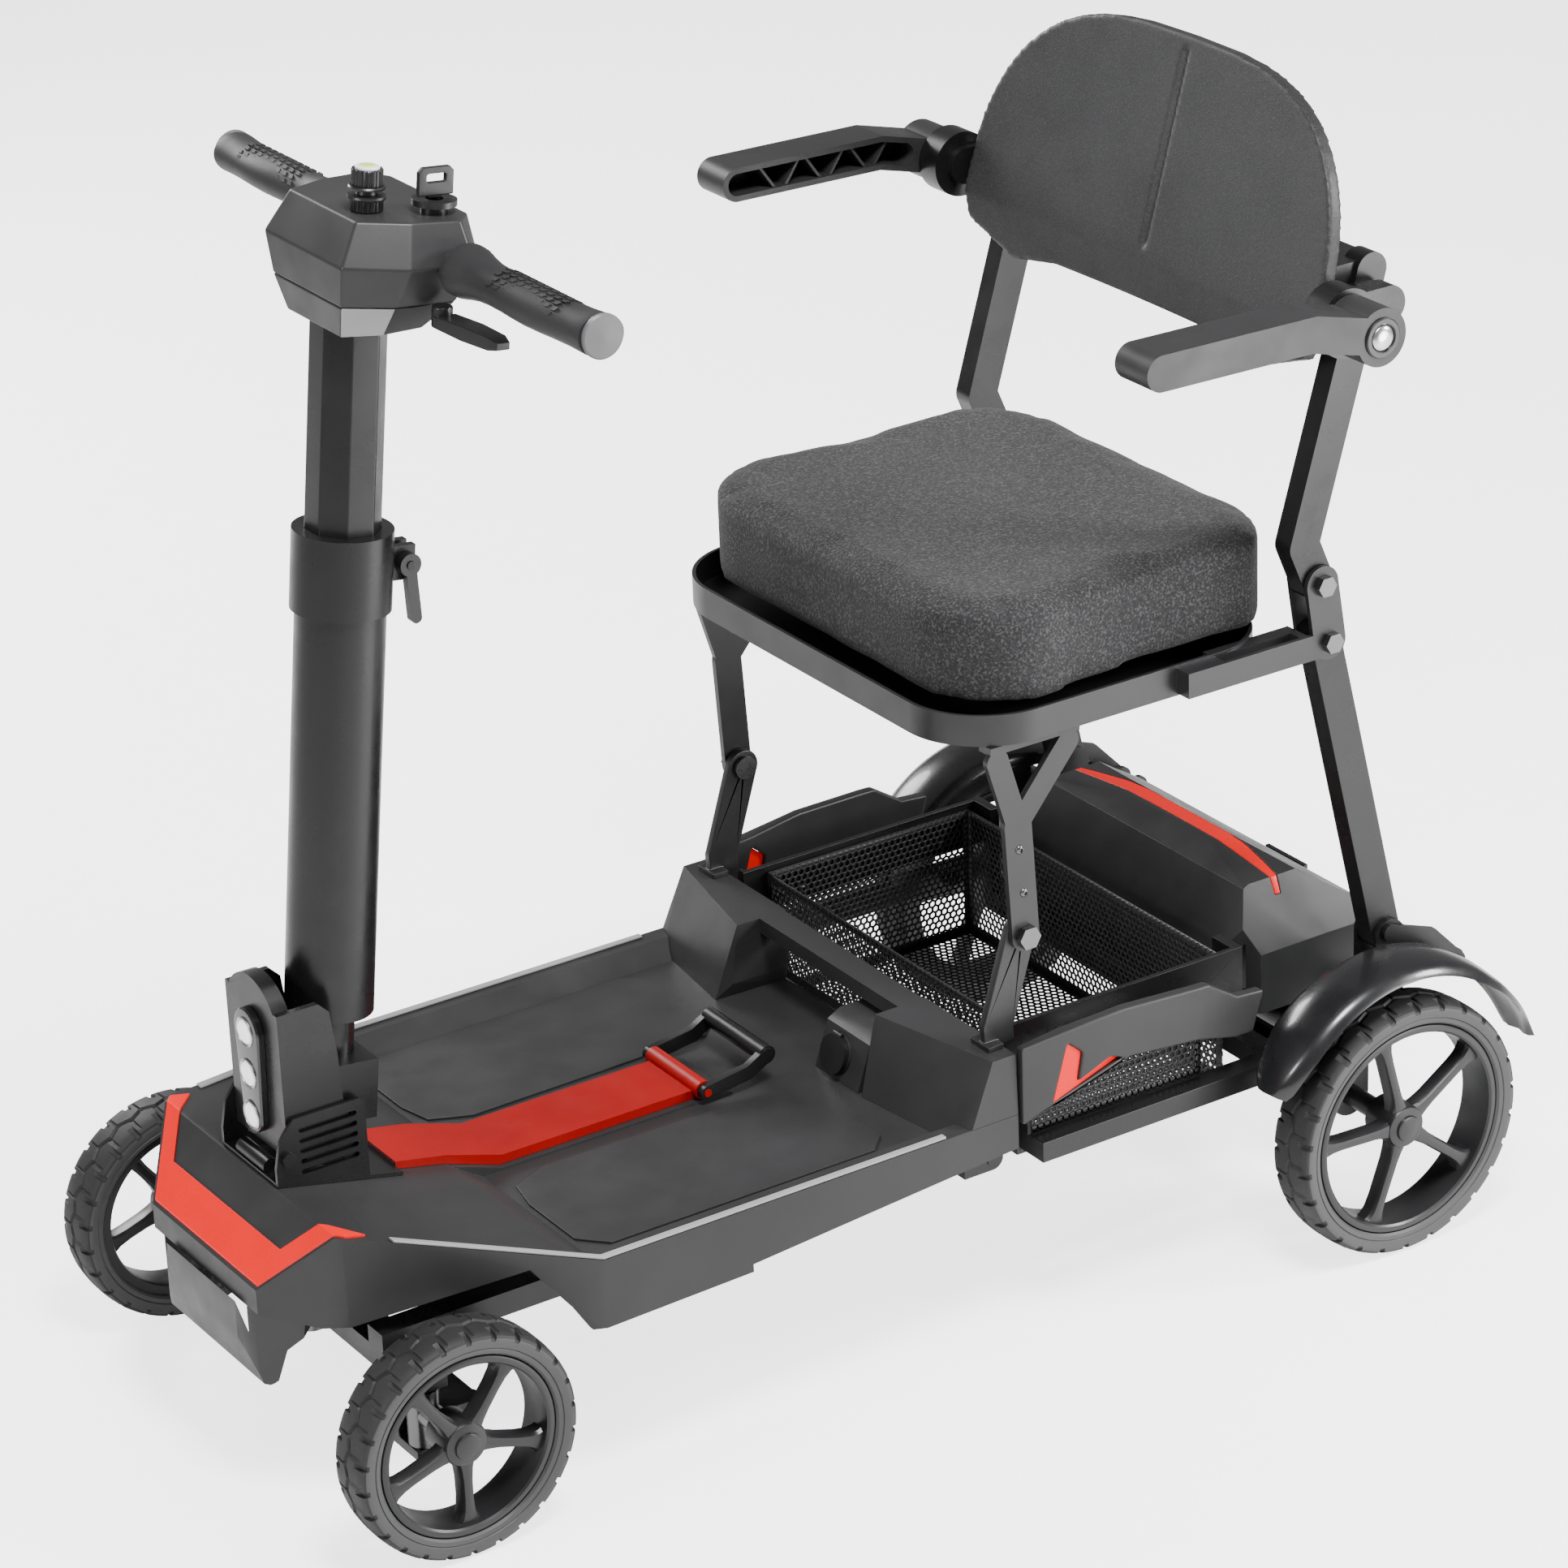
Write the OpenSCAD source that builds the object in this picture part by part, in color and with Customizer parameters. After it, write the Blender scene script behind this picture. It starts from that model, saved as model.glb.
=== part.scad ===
// Folding four-wheel mobility scooter, millimetres.
// Rider faces +X, rider's left is +Y, +Z is up, the floor is z = 0.
// Every module is written from the rear axle's foot; scooter() then centres the length.

/* [Wheels] */
// Diameter of the rear wheels
rear_wheel_d = 200; // [190:1:230]
// Diameter of the front wheels
front_wheel_d = 170; // [150:1:180]
// Width of every tyre
tyre_w = 40; // [30:1:44]
// Distance from the rear axle to the front axle
wheelbase = 766; // [740:1:900]
// Width over the rear tyres
overall_w = 555; // [555:1:660]
// Width over the front tyres
front_w = 446; // [446:1:540]

/* [Deck] */
// Width of the deck over its trim
deck_w = 409; // [396:1:410]
// Height of the foot well
floor_z = 168; // [164:1:170]
// Height of the deck's rim
rim_z = 180; // [176:1:190]
// Height of the spine in the foot well
spine_h = 2; // [2:0.5:4]
// Height of the nose under the tiller
nose_z = 215; // [208:1:222]
// Nose ahead of the front axle
nose_overhang = 88; // [80:1:110]
// Wall of the deck shell
shell_t = 4; // [3:0.5:6]

/* [Frame] */
// Joint line between the front and the rear half
seam_x = 300; // [296:1:306]
// Height of the folding hinge
hinge_z = 122; // [118:1:124]
// Radius of the folding hinge pin
hinge_pin_r = 5; // [4:0.5:6]
// Height of the towers that carry the front legs
tower_z = 227; // [220:1:236]

/* [Seat] */
// Height of the seat pan's underside
seat_z = 459; // [440:1:500]
// Half width of the seat
seat_half_w = 194; // [170:1:194]
// Length of the seat cushion
cushion_len = 306; // [290:1:308]
// Thickness of the seat cushion
cushion_t = 70; // [50:1:90]
// Height of the backrest's top above the seat pan
back_h = 404; // [400:1:460]
// Length of an armrest from pivot to tip
arm_len = 186; // [150:1:230]

/* [Tiller] */
// Backward lean of the tiller
lean = 6.4; // [4:0.1:8]
// Outer radius of the lower column
column_r = 31; // [28:0.5:33]
// Wall of the lower column
column_t = 4.7; // [3:0.1:6]
// Grip ends from the centre line
grip_y = 244.5; // [225:0.5:270]
// Height of the handlebar along the column
head_s = 540; // [500:1:580]

/* [Fits] */
// Gap between separate bodies
gap = 0.3; // [0.3:0.05:0.5]
// Radial clearance of a running fit
fit = 0.05; // [0.02:0.01:0.1]

/* [Hidden] */
$fn = 48;

rear_r = rear_wheel_d / 2;
front_r = front_wheel_d / 2;
rear_face = overall_w / 2;
front_face = front_w / 2;
front_x = wheelbase;
nose_x = front_x + nose_overhang;
inner_r = column_r - column_t - gap;

// colours
plastic = [0.20, 0.20, 0.21];
black = [0.05, 0.05, 0.055];
red = [0.85, 0.05, 0.05];
trim_grey = [0.62, 0.62, 0.63];
fabric = [0.16, 0.16, 0.17];
rubber = [0.09, 0.09, 0.09];
silver = [0.75, 0.75, 0.76];

// lengths shared by several pieces, measured from the rear axle's foot
tail_x = -105;
mid_x = (nose_x + tail_x) / 2;
deck_half = deck_w / 2;
hinge_x = seam_x - 8;
tube_w = 18;
tube_d = 28;
tube_in = seat_half_w - 8;
tube_out = tube_in + tube_w;
ear_t = 4;
rail_in = tube_in + 10;
rail_w = 18;
rail_lo = hinge_z + 18;
rail_hi = rail_lo + 16;
lug_y = 142;
lug_w = 18;

// seat linkage in the X-Z plane
leg_pivot = [hinge_x - 13, hinge_z + 186];
ear_back = [31, seat_z + 58];
ear_leg = [24, seat_z + 13];
catch_pt = [-34.2, 221.7];
latch_pt = [-97, 184];
latch_r = 4;
pan_front = 334;
pan_back = 52;
pan_h = 23;
cushion_front = 328;
cushion_back = cushion_front - cushion_len;
cushion_lo = seat_z + pan_h + gap;
back_lean = 16.2;
back_base = [50, 0, seat_z + 209];
back_t = 12;
arm_pivot = [36, seat_z + 263];
arm_in = tube_out + 36;
arm_w = 36;

// front end
tower_in = 91;
well_x = front_x - 126;
nose_start = front_x - 121;
nose_tip = [front_x + 35, 128];
nose_corner = [nose_x - 10, 76];
kingpin_y = front_face - tyre_w - 25;
kingpin_r = 5;
arm_r = 35;
pitman_r = 28;
rod_z = 70;
beam_z = 95.7;
tilt_pt = [front_x - 21, 222];
strap_end = [456, floor_z + spine_h + gap + 7.3];
bracket_x = front_x + 26;
led_z = [254, 286, 318];
col_foot = [front_x - 33, 0, 317];
col_len = 325;
collar_lo = 291;
collar_h = 56;
inner_lo = 150;
dial_at = [2, 22];
key_at = [-38, 40];
head_top = head_s + 29;

module scooter() translate([-mid_x, 0, 0]) children();
module pair() {
    children();
    mirror([0, 1, 0]) children();
}
// an X-Z outline made solid from y0 to y1
module xz(y0, y1) translate([0, y1, 0]) rotate([90, 0, 0]) linear_extrude(y1 - y0) children();
// a Y-Z outline made solid from x0 to x1
module yz(x0, x1) translate([x0, 0, 0]) rotate([90, 0, 90]) linear_extrude(x1 - x0) children();
module block(x, y, z) translate([x[0], y[0], z[0]]) cube([x[1] - x[0], y[1] - y[0], z[1] - z[0]]);
module shaft_y(r, y, p) xz(y[0], y[1]) translate(p) circle(r);
// a bar with round ends between two points
module bar(p, q, w) bars([p, q], w);
// the same along several points; its round ends stand a hair proud, so that no edge is tangent
module bars(pts, w) {
    for (i = [1:len(pts) - 1]) {
        d = pts[i] - pts[i - 1];
        translate(pts[i - 1]) rotate(atan2(d[1], d[0])) translate([0, -w / 2]) square([norm(d), w]);
    }
    for (p = pts) translate(p) circle(w / 2 + 0.05);
}
// a rectangle in plan with round corners, rf in front and rr behind
module round_plan(x0, x1, hw, rf, rr) {
    translate([x0 + rr, -hw]) square([x1 - rf - x0 - rr, 2 * hw]);
    translate([x1 - rf - 1, rf - hw]) square([rf + 1, 2 * (hw - rf)]);
    translate([x0, rr - hw]) square([rr + 1, 2 * (hw - rr)]);
    for (s = [-1, 1]) {
        translate([x1 - rf, s * (hw - rf)]) circle(rf);
        translate([x0 + rr, s * (hw - rr)]) circle(rr);
    }
}
module in_column() translate(col_foot) rotate([0, -lean, 0]) children();

// ---------- rear half ----------
module rear_frame() color(black) scooter() {
    pair() {
        difference() {
            union() {
                block([-62, hinge_x - 6], [rail_in, rail_in + rail_w], [rail_lo, rail_hi]);
                xz(lug_y, lug_y + 8.5) bar([hinge_x, hinge_z], [hinge_x - 10, rail_lo + 4], lug_w);
            }
            shaft_y(hinge_pin_r + fit, [lug_y - 1, lug_y + 10], [hinge_x, hinge_z]);
        }
        basket_rail();
    }
    for (x = [-62, 60]) block([x, x + 18], [-rail_in, rail_in], [rail_lo, rail_hi]);
    block([hinge_x - 14, hinge_x - 6], [-rail_in, rail_in], [rail_lo, rail_hi]);
}
// flat bar along the basket's top edge, on posts at both ends
module basket_rail() {
    difference() {
        block([78, seam_x - 8], [162, 166], [190, tower_z + 1]);
        for (x = [110, 240]) shaft_y(3, [161, 167], [x, 200]);
    }
    block([70, 78], [140, 166], [rail_hi, tower_z + 1]);
    block([seam_x - 12, seam_x - 8], [162, 170], [rail_hi, tower_z + 1]);
    block([seam_x - 14, seam_x - 8], [150, 170], [rail_lo, rail_hi]);
}
module rear_housing() color(plastic) scooter() difference() {
    housing_form(0);
    translate([0, 0, -shell_t]) intersection() {
        block([-82, 58 - shell_t], [-140, 140], [rail_hi, 230]);
        housing_form(shell_t);
    }
    light_seat(0);
}
// three outlines crossed, drawn in by t on every side
module housing_form(t) intersection() {
    xz(-150 + t, 150 - t) polygon([
        [62 - t, rail_hi + gap], [62 - t, 196], [36 - t, 248 - t], [14, 256 - t], [-8, 254 - t],
        [-34, 236 - t], [-70 + t, 212 - t], [-88 + t, 186], [-88 + t, rail_hi + gap]]);
    yz(-90, 64) polygon([
        [-150 + t, 150], [-150 + t, 205], [-122, 250 - t], [0, 260 - t],
        [122, 250 - t], [150 - t, 205], [150 - t, 150]]);
    linear_extrude(270) polygon([
        [-88, -112], [-60, -150], [40, -150], [62, -118], [62, 118], [40, 150], [-60, 150], [-88, 112]]);
}
// the crescent that the red strip lies in
module light_seat(g) translate([0, 0, 238]) linear_extrude(30) polygon(concat(
    [for (y = [-150:25:150]) [g - 11 + 22 * pow(y / 150, 2), y]],
    [for (y = [150:-25:-150]) [7 - g + 5 * pow(y / 150, 2), y]]));
module rear_lights() color(red) scooter() {
    intersection() {
        light_seat(gap);
        translate([0, 0, -0.2]) housing_form(0);
    }
    pair() window(gap, 204, 208);
}
// L-shaped opening in a side cover, drawn in by t
module window(t, y0, y1) xz(y0, y1) polygon([
    [273 - 1.3 * t, 181 + 1.6 * t], [260 - t, 226 - 2 * t], [247 + t, 215 - 0.3 * t],
    [251 + t, 193 - 1.6 * t], [225 + t, 205 - 1.2 * t], [213 + 3 * t, 201]]);
module battery_pack() color(black) scooter() {
    block([-64, 40], [-110, 110], [rail_hi + 0.6, rail_hi + 44]);
}
module rear_axle() color(black) scooter() {
    difference() {
        union() {
            shaft_y(15, [-205, 205], [0, rear_r]);
            xz(-30, 25) bar([0, rear_r], [-62, rear_r + 4], 64);
            shaft_y(30, [25.2, 140], [-62, rear_r + 4]);
            pair() xz(rail_in, rail_in + 10) bar([0, rear_r], [0, rail_lo - 20], 34);
            pair() block([-17, 17], [rail_in, rail_in + 10], [rear_r, rail_lo - 0.2]);
        }
        pair() shaft_y(8 + fit, [188, 210], [0, rear_r]);
    }
}
module fenders() color(black) scooter() pair() {
    y0 = rear_face - 60;
    difference() {
        xz(y0, rear_face - 3) intersection() {
            translate([8, rear_r]) circle(rear_r + 30);
            fender_wedge();
        }
        xz(y0 - 1, rear_face + 1) circle_at(rear_r + 13);
        xz(y0 + 4, rear_face - 7) translate([6, rear_r]) circle(rear_r + 25);
    }
    block([-18, 18], [rail_in + rail_w + gap, y0], [rail_hi - 10, rear_r + 120]);
}
module circle_at(r) translate([0, rear_r]) circle(r);
module fender_wedge() polygon([
    [0, rear_r], [160, rear_r + 44], [160, 260], [-160, 260], [-160, rear_r + 88]]);
module side_covers() color(plastic) scooter() pair() difference() {
    intersection() {
        xz(180, 240) polygon([
            [seam_x - 2, tower_z + 5], [212, 240], [140, 238], [114, 221], [90, 219], [100, 188],
            [116, 188], [149, 196], [207, 200], [256, 184], [seam_x - 2, 171]]);
        linear_extrude(260) polygon([
            [seam_x - 2, 200], [seam_x - 2, 207], [225, 212], [150, 217], [90, 217],
            [90, 208], [150, 208], [225, 203], [260, 199.3]]);
    }
    window(0, 190, 240);
}
module cargo_basket() color(black) scooter() {
    difference() {
        block([84, hinge_x - 20], [-161.7, 161.7], [118, tower_z - 3]);
        block([86, hinge_x - 22], [-159.7, 159.7], [120, tower_z]);
    }
    pair() block([134, seam_x - 12], [rail_in + 1.5, rail_in + 3], [rail_hi + gap, 200]);
}
module hinge_pin() color(silver) scooter() pair() {
    shaft_y(hinge_pin_r, [lug_y - 0.2, lug_y + lug_w + 1], [hinge_x, hinge_z]);
    shaft_y(hinge_pin_r + 3, [lug_y - 5, lug_y - 0.2], [hinge_x, hinge_z]);
}
// fork that holds each rear leg's foot, with its cross pin
module leg_catches() color(black) scooter() pair() {
    difference() {
        union() {
            for (y = [tube_in - ear_t, tube_out]) xz(y, y + ear_t) {
                bar(catch_pt, [catch_pt[0], rail_hi + 18], 26);
                bar([catch_pt[0], latch_pt[1]], latch_pt, 16);
                translate([catch_pt[0] - 13, rail_hi]) square([26, 20]);
            }
            block([catch_pt[0] - 18, catch_pt[0] + 18], [tube_in - ear_t, tube_out + ear_t],
                [rail_hi, rail_hi + 4]);
        }
        shaft_y(latch_r + fit, [tube_in - 10, tube_out + 10], latch_pt);
    }
    shaft_y(3, [tube_in - 3, tube_out + 2], catch_pt);
}
module leg_latch() color(black) scooter() {
    shaft_y(latch_r, [-tube_out - 12, tube_out + 12], latch_pt);
    pair() xz(tube_out + ear_t + gap, tube_out + ear_t + 4) bars([latch_pt, [-70, 212],
        catch_pt + [2, 4]], 13);
    block([-104, -100.5], [-24, 24], [164, 190]);
}

// ---------- front half ----------
// plan of the deck, drawn in by t
module deck_plan(t, x0) polygon([
    [x0, -deck_half + t], [nose_start - t / 4, -deck_half + t], [nose_tip[0] - t / 2, -nose_tip[1] + t],
    [nose_corner[0] - t, -nose_corner[1] + t / 3], [nose_corner[0] - t, nose_corner[1] - t / 3],
    [nose_tip[0] - t / 2, nose_tip[1] - t], [nose_start - t / 4, deck_half - t], [x0, deck_half - t]]);
// side view of the deck with its hood; t lowers it
module deck_side(t) polygon([
    [seam_x + gap, rim_z - t], [nose_start, rim_z - t], [nose_tip[0], nose_z - t],
    [nose_tip[0] + 4, nose_z - t],
    [nose_x - 9, nose_z - 50 - t], [nose_x, nose_z - 66], [nose_x - 40, nose_z - 72],
    [front_x - 76, nose_z - 37], [front_x - 102, 144], [front_x - 112, 127],
    [front_x - 240, 130], [front_x - 240, 136], [seam_x + gap, 153]]);
module deck_shell() color(plastic) scooter() difference() {
    union() {
        difference() {
            intersection() {
                xz(-deck_half, deck_half) deck_side(0);
                translate([0, 0, 100]) linear_extrude(140) deck_plan(0, seam_x + gap);
            }
            intersection() {
                translate([0, 0, -shell_t]) xz(-deck_half, deck_half) deck_side(0);
                translate([0, 0, 90]) linear_extrude(floor_z - 94) deck_plan(shell_t, 0);
            }
            hood_hollow();
            foot_well();
        }
        tunnel();
    }
    pair() tower_form(-gap);
    chevron(0.3, 4);
    translate([front_x, 0, 100]) cylinder(r = 11, h = 140);
}
// hollow under the nose, open below
module hood_hollow() intersection() {
    translate([0, 0, -shell_t - 1]) xz(-160, 160) deck_side(0);
    translate([0, 0, 90]) linear_extrude(140) deck_plan(2.5 * shell_t, front_x - 76);
}
// sunken floor with sloping walls
module foot_well() {
    w = deck_half - 14;
    yz(seam_x - 1, well_x - 89) polygon([
        [-w, rim_z + 1], [-w + 18, floor_z], [w - 18, floor_z], [w, rim_z + 1], [w, 300], [-w, 300]]);
    intersection() {
        xz(-w, w) polygon([[well_x - 90, floor_z], [well_x, floor_z],
            [well_x + 28, hood(well_x + 28) + 1], [well_x - 90, 240]]);
        yz(well_x - 100, well_x + 60) polygon([
            [-w, rim_z + 1], [-w + 18, floor_z], [w - 18, floor_z], [w, rim_z + 1], [w, 300], [-w, 300]]);
    }
}
// raised spine that the fold strap lies on
module tunnel() xz(-34, 34) polygon([
    [430, floor_z - 1], [434, floor_z + spine_h], [well_x - 16, floor_z + spine_h],
    [well_x + 28, hood(well_x + 28)], [well_x + 28, floor_z - 1]]);
module front_frame() color(black) scooter() {
    lo = hinge_z;
    pair() {
        block([seam_x + 1, front_x + 18], [120, 140], [lo, lo + 18]);
        // pads that the deck's floor rests on
        for (x = [350, 470, 600]) block([x, x + 30], [122, 138], [lo + 17, floor_z - shell_t - gap]);
    }
    difference() {
        union() {
            block([seam_x + 1, seam_x + 17], [-lug_y - lug_w, lug_y + lug_w], [lo - 9, lo + 9]);
            pair() xz(lug_y + 9, lug_y + lug_w) bar([hinge_x, hinge_z], [seam_x + 6, hinge_z], lug_w);
        }
        pair() shaft_y(hinge_pin_r + fit, [lug_y, lug_y + lug_w + 1], [hinge_x, hinge_z]);
        pair() shaft_y(12, [lug_y - 6, lug_y + 8.8], [hinge_x, hinge_z]);
    }
    for (x = [470, 650]) block([x, x + 20], [-120, 120], [lo, lo + 18]);
}
module front_bumper() color(black) scooter() {
    difference() {
        intersection() {
            xz(-100, 100) polygon([
                [nose_x - 1, nose_z - 66 - gap], [nose_x - 6, 120], [nose_x - 14, 88], [nose_x - 20, 88],
                [nose_x - 26, 118], [nose_x - 42, nose_z - 73]]);
            yz(nose_x - 60, nose_x) polygon([
                [-98, nose_z - 60], [-94, 120], [-84, 98], [-70, 86], [70, 86], [84, 98],
                [94, 120], [98, nose_z - 60]]);
            translate([0, 0, 80]) linear_extrude(80) polygon([
                [nose_x - 60, -112], [nose_x - 36, -98], [nose_x - 12, -66], [nose_x - 6, -50],
                [nose_x - 6, 50], [nose_x - 12, 66], [nose_x - 36, 98], [nose_x - 60, 112]]);
        }
        xz(-60, 60) polygon([[nose_x - 6, nose_z - 66], [nose_x - 11, 120], [nose_x - 20, 80],
            [nose_x - 60, 80], [nose_x - 60, nose_z - 66]]);
    }
}
// bevelled chevron on the nose: one arm each side and a bar across
module chevron(g, d) intersection() {
    xz(-deck_half, deck_half) difference() {
        deck_side(-1.5);
        translate([-d, -d]) deck_side(0);
        block([0, nose_tip[0] - 24], [0, 400], [-1, 1]);
    }
    translate([0, 0, 120]) linear_extrude(120) difference() {
        deck_plan(2 - g, front_x - 66);
        translate([-26 - g, 0]) deck_plan(-6, front_x - 66);
    }
    block([front_x - 66, nose_x + 46], [-nose_tip[1] + 1 - g, nose_tip[1] - 1 + g],
        [nose_z - 54 - g, 300]);
}
module chevron_light() color(red) scooter() chevron(0, 3);
module foot_mats() color(plastic) scooter() pair()
    translate([0, 0, floor_z]) linear_extrude(1.6)
    polygon([
        [400, 52], [well_x - 40, 48], [well_x - 10, 62], [well_x - 4, 90], [well_x - 4, 150],
        [well_x - 22, 170],
        [400, 170], [385, 155], [385, 66]]);
module edge_trim() color(trim_grey) scooter() pair() difference() {
    intersection() {
        translate([0, 0, 2]) xz(0, deck_half) deck_side(0);
        translate([0, 0, 160]) linear_extrude(80) difference() {
            deck_plan(0.5, seam_x + 62);
            deck_plan(6, seam_x);
            translate([nose_tip[0] - 30, 0]) square(300);
        }
    }
    xz(-1, deck_half + 1) deck_side(-gap / 2);
}
// cover over each front leg's foot
module leg_towers() color(plastic) scooter() {
    pair() difference() {
        tower_form(0);
        translate([0, 0, -shell_t]) tower_form(shell_t);
    }
    block([seam_x + 2, seam_x + 24], [-tower_in - 2, tower_in + 2], [tower_z - 12, tower_z]);
}
module tower_form(t) hull() {
    translate([0, 0, floor_z]) linear_extrude(0.1) polygon([
        [seam_x + gap + t, tower_in + 4 + t], [seam_x + 62 - t, tower_in + 6 + t],
        [seam_x + 50 - t, deck_half - 16 - t], [seam_x + gap + t, deck_half - 16 - t]]);
    translate([0, 0, rim_z]) linear_extrude(0.1) polygon([
        [seam_x + gap + t, tower_in + t], [seam_x + 50 - t, tower_in + t],
        [seam_x + 40 - t, deck_half - t], [seam_x + gap + t, deck_half - t]]);
    translate([0, 0, tower_z - 0.1]) linear_extrude(0.1) polygon([
        [seam_x + gap + t, tower_in + t], [seam_x + 44 - t, tower_in + t],
        [seam_x + 20 - t, deck_half - 2 - t], [seam_x + gap + t, deck_half - 2 - t]]);
}

// socket box beside the fold handle
module charge_port() color(plastic) scooter() {
    difference() {
        xz(36, tower_in - gap) polygon([
            [seam_x + 2, floor_z + gap], [seam_x + 61, floor_z + gap],
            [seam_x + 49, tower_z - 24], [seam_x + 38, tower_z - 18], [seam_x + 2, tower_z - 18]]);
        at_port() cylinder(r = 16, h = 30);
        block([seam_x, seam_x + 30], [0, tower_in], [tower_z - 12.5, tower_z]);
    }
    at_port() difference() {
        cylinder(r = 15.7, h = 6);
        translate([0, 0, 2]) cylinder(r = 9, h = 6);
    }
}
module at_port() translate([seam_x + 51, 58, rim_z + 4]) rotate([0, 74, 0]) children();
module charge_cover() color(black) scooter() at_port() {
    translate([0, 0, 6 + gap]) cylinder(r = 15, h = 4);
    translate([-15, 5, 8]) rotate([90, 0, 0]) cylinder(r = 2, h = 10);
}
// flat legs that stand on the towers and carry the seat's front pivots
module front_legs() color(black) scooter() pair() {
    difference() {
        union() {
            xz(tube_in - 10, tube_in - 3.3) bar(leg_pivot, [seam_x, tower_z + 14], 26);
            block([seam_x - 12.6, seam_x + 12.6], [tube_in - 10, tube_in - 3.3], [tower_z, tower_z + 14]);
            block([seam_x + 1, seam_x + 15], [tube_in - 18, tube_in + 4], [tower_z, tower_z + 4]);
        }
        shaft_y(5 + fit, [tube_in - 12, tube_in], leg_pivot);
    }
}
// height of the hood's top at x
function hood(x) = rim_z + (x - nose_start) * (nose_z - rim_z) / (nose_tip[0] - nose_start);
module tiller_base() color(black) scooter() {
    pair() difference() {
        xz(37.4, 40.4) polygon([
            [front_x - 34, hood(front_x - 34) + gap], [front_x - 34, 260], [front_x - 30, 264],
            [front_x + 22, 264], [front_x + 33, 250], [front_x + 37, 230],
            [front_x + 37, hood(front_x + 37) + gap]]);
        for (i = [0:4]) xz(37, 41) bar([front_x - 25, 222 + 8 * i], [front_x + 16, 222 + 8 * i], 4);
    }
    difference() {
        xz(-40, 40) polygon([
            [front_x - 60, hood(front_x - 60) + gap], [front_x - 60, hood(front_x - 60) + 3],
            [front_x + 37, hood(front_x + 37) + 3], [front_x + 37, hood(front_x + 37) + gap]]);
        translate([front_x, 0, 180]) cylinder(r = 9, h = 60);
    }
    shaft_y(kingpin_r, [-37.5, 37.5], tilt_pt);
    pair() shaft_y(5, [37.4, 44], [front_x + 28, 236]);
    shaft_y(6, [-20, 20], [front_x + 31, hood(front_x + 31) + 8]);
}
module fold_strap() color(red) scooter() {
    top = floor_z + spine_h + gap;
    xz(-29, 29) polygon([
        [strap_end[0], top], [well_x - 15.9, top], [well_x + 28, hood(well_x + 28) + gap],
        [front_x - 60, hood(front_x - 60) + gap], [front_x - 60, hood(front_x - 60) + 6],
        [well_x + 26, hood(well_x + 26) + 7],
        [well_x - 19, top + 7], [strap_end[0], top + 7]]);
    shaft_y(7, [-34, 34], strap_end);
    pair() shaft_y(3, [33, 40.5], strap_end);
}
// loop handle that turns on the strap's end
module fold_handle() color(black) scooter() {
    rear = strap_end + [-52, 14];
    difference() {
        union() {
            pair() xz(34 + gap, 40) bars([strap_end, strap_end + [-36, 5], rear], 11);
            shaft_y(7, [-39, 39], rear);
        }
        pair() shaft_y(3 + fit, [34, 41], strap_end);
    }
}
module pitman_arm() color(silver) scooter() {
    translate([front_x, 0, rod_z + 6.3]) cylinder(r = 8, h = 195 - rod_z - 7);
    translate([0, 0, rod_z + 6.3]) linear_extrude(6) bar([front_x, 0], [front_x - pitman_r, 0], 18);
    translate([front_x - pitman_r, 0, rod_z - 2]) cylinder(r = 3, h = 10);
}
module tie_rod() color(silver) scooter() translate([0, 0, rod_z]) linear_extrude(6) difference() {
    union() {
        x = front_x - arm_r;
        pair() bars([[x, kingpin_y], [x, 60], [front_x - pitman_r, 0]], 24);
    }
    pair() translate([front_x - arm_r, kingpin_y]) circle(7.5);
    translate([front_x - pitman_r, 0]) circle(7.5);
}
module front_axle_beam() color(black) scooter() difference() {
    union() {
        block([front_x - 14, front_x + 14], [-kingpin_y - 12, kingpin_y + 12], [beam_z + 8, beam_z + 26]);
        pair() {
            block([front_x - 12, front_x + 12], [kingpin_y - 28, kingpin_y + 10], [52, 60]);
            block([front_x - 12, front_x + 12], [kingpin_y - 28, kingpin_y - 16], [52, beam_z + 10]);
            translate([front_x, kingpin_y, 54]) cylinder(r = kingpin_r, h = 52);
        }
    }
    translate([front_x, 0, 80]) cylinder(r = 8 + fit, h = 60);
}
module knuckle() difference() {
    union() {
        translate([front_x, kingpin_y, 60.5]) cylinder(r = 12, h = beam_z + 7 - 60.5);
        shaft_y(6, [kingpin_y + 8, front_face - 10], [front_x, front_r]);
        shaft_y(9, [kingpin_y + 8, front_face - tyre_w + 2.5], [front_x, front_r]);
        translate([0, 0, rod_z + 6.3]) linear_extrude(7)
            bar([front_x, kingpin_y], [front_x - arm_r, kingpin_y], 16);
        translate([front_x - arm_r, kingpin_y, rod_z - 2]) cylinder(r = 3, h = 12);
    }
    translate([front_x, kingpin_y, 50]) cylinder(r = kingpin_r + fit, h = 70);
}
module knuckle_left() color(silver) scooter() knuckle();
module knuckle_right() color(silver) scooter() mirror([0, 1, 0]) knuckle();

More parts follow.
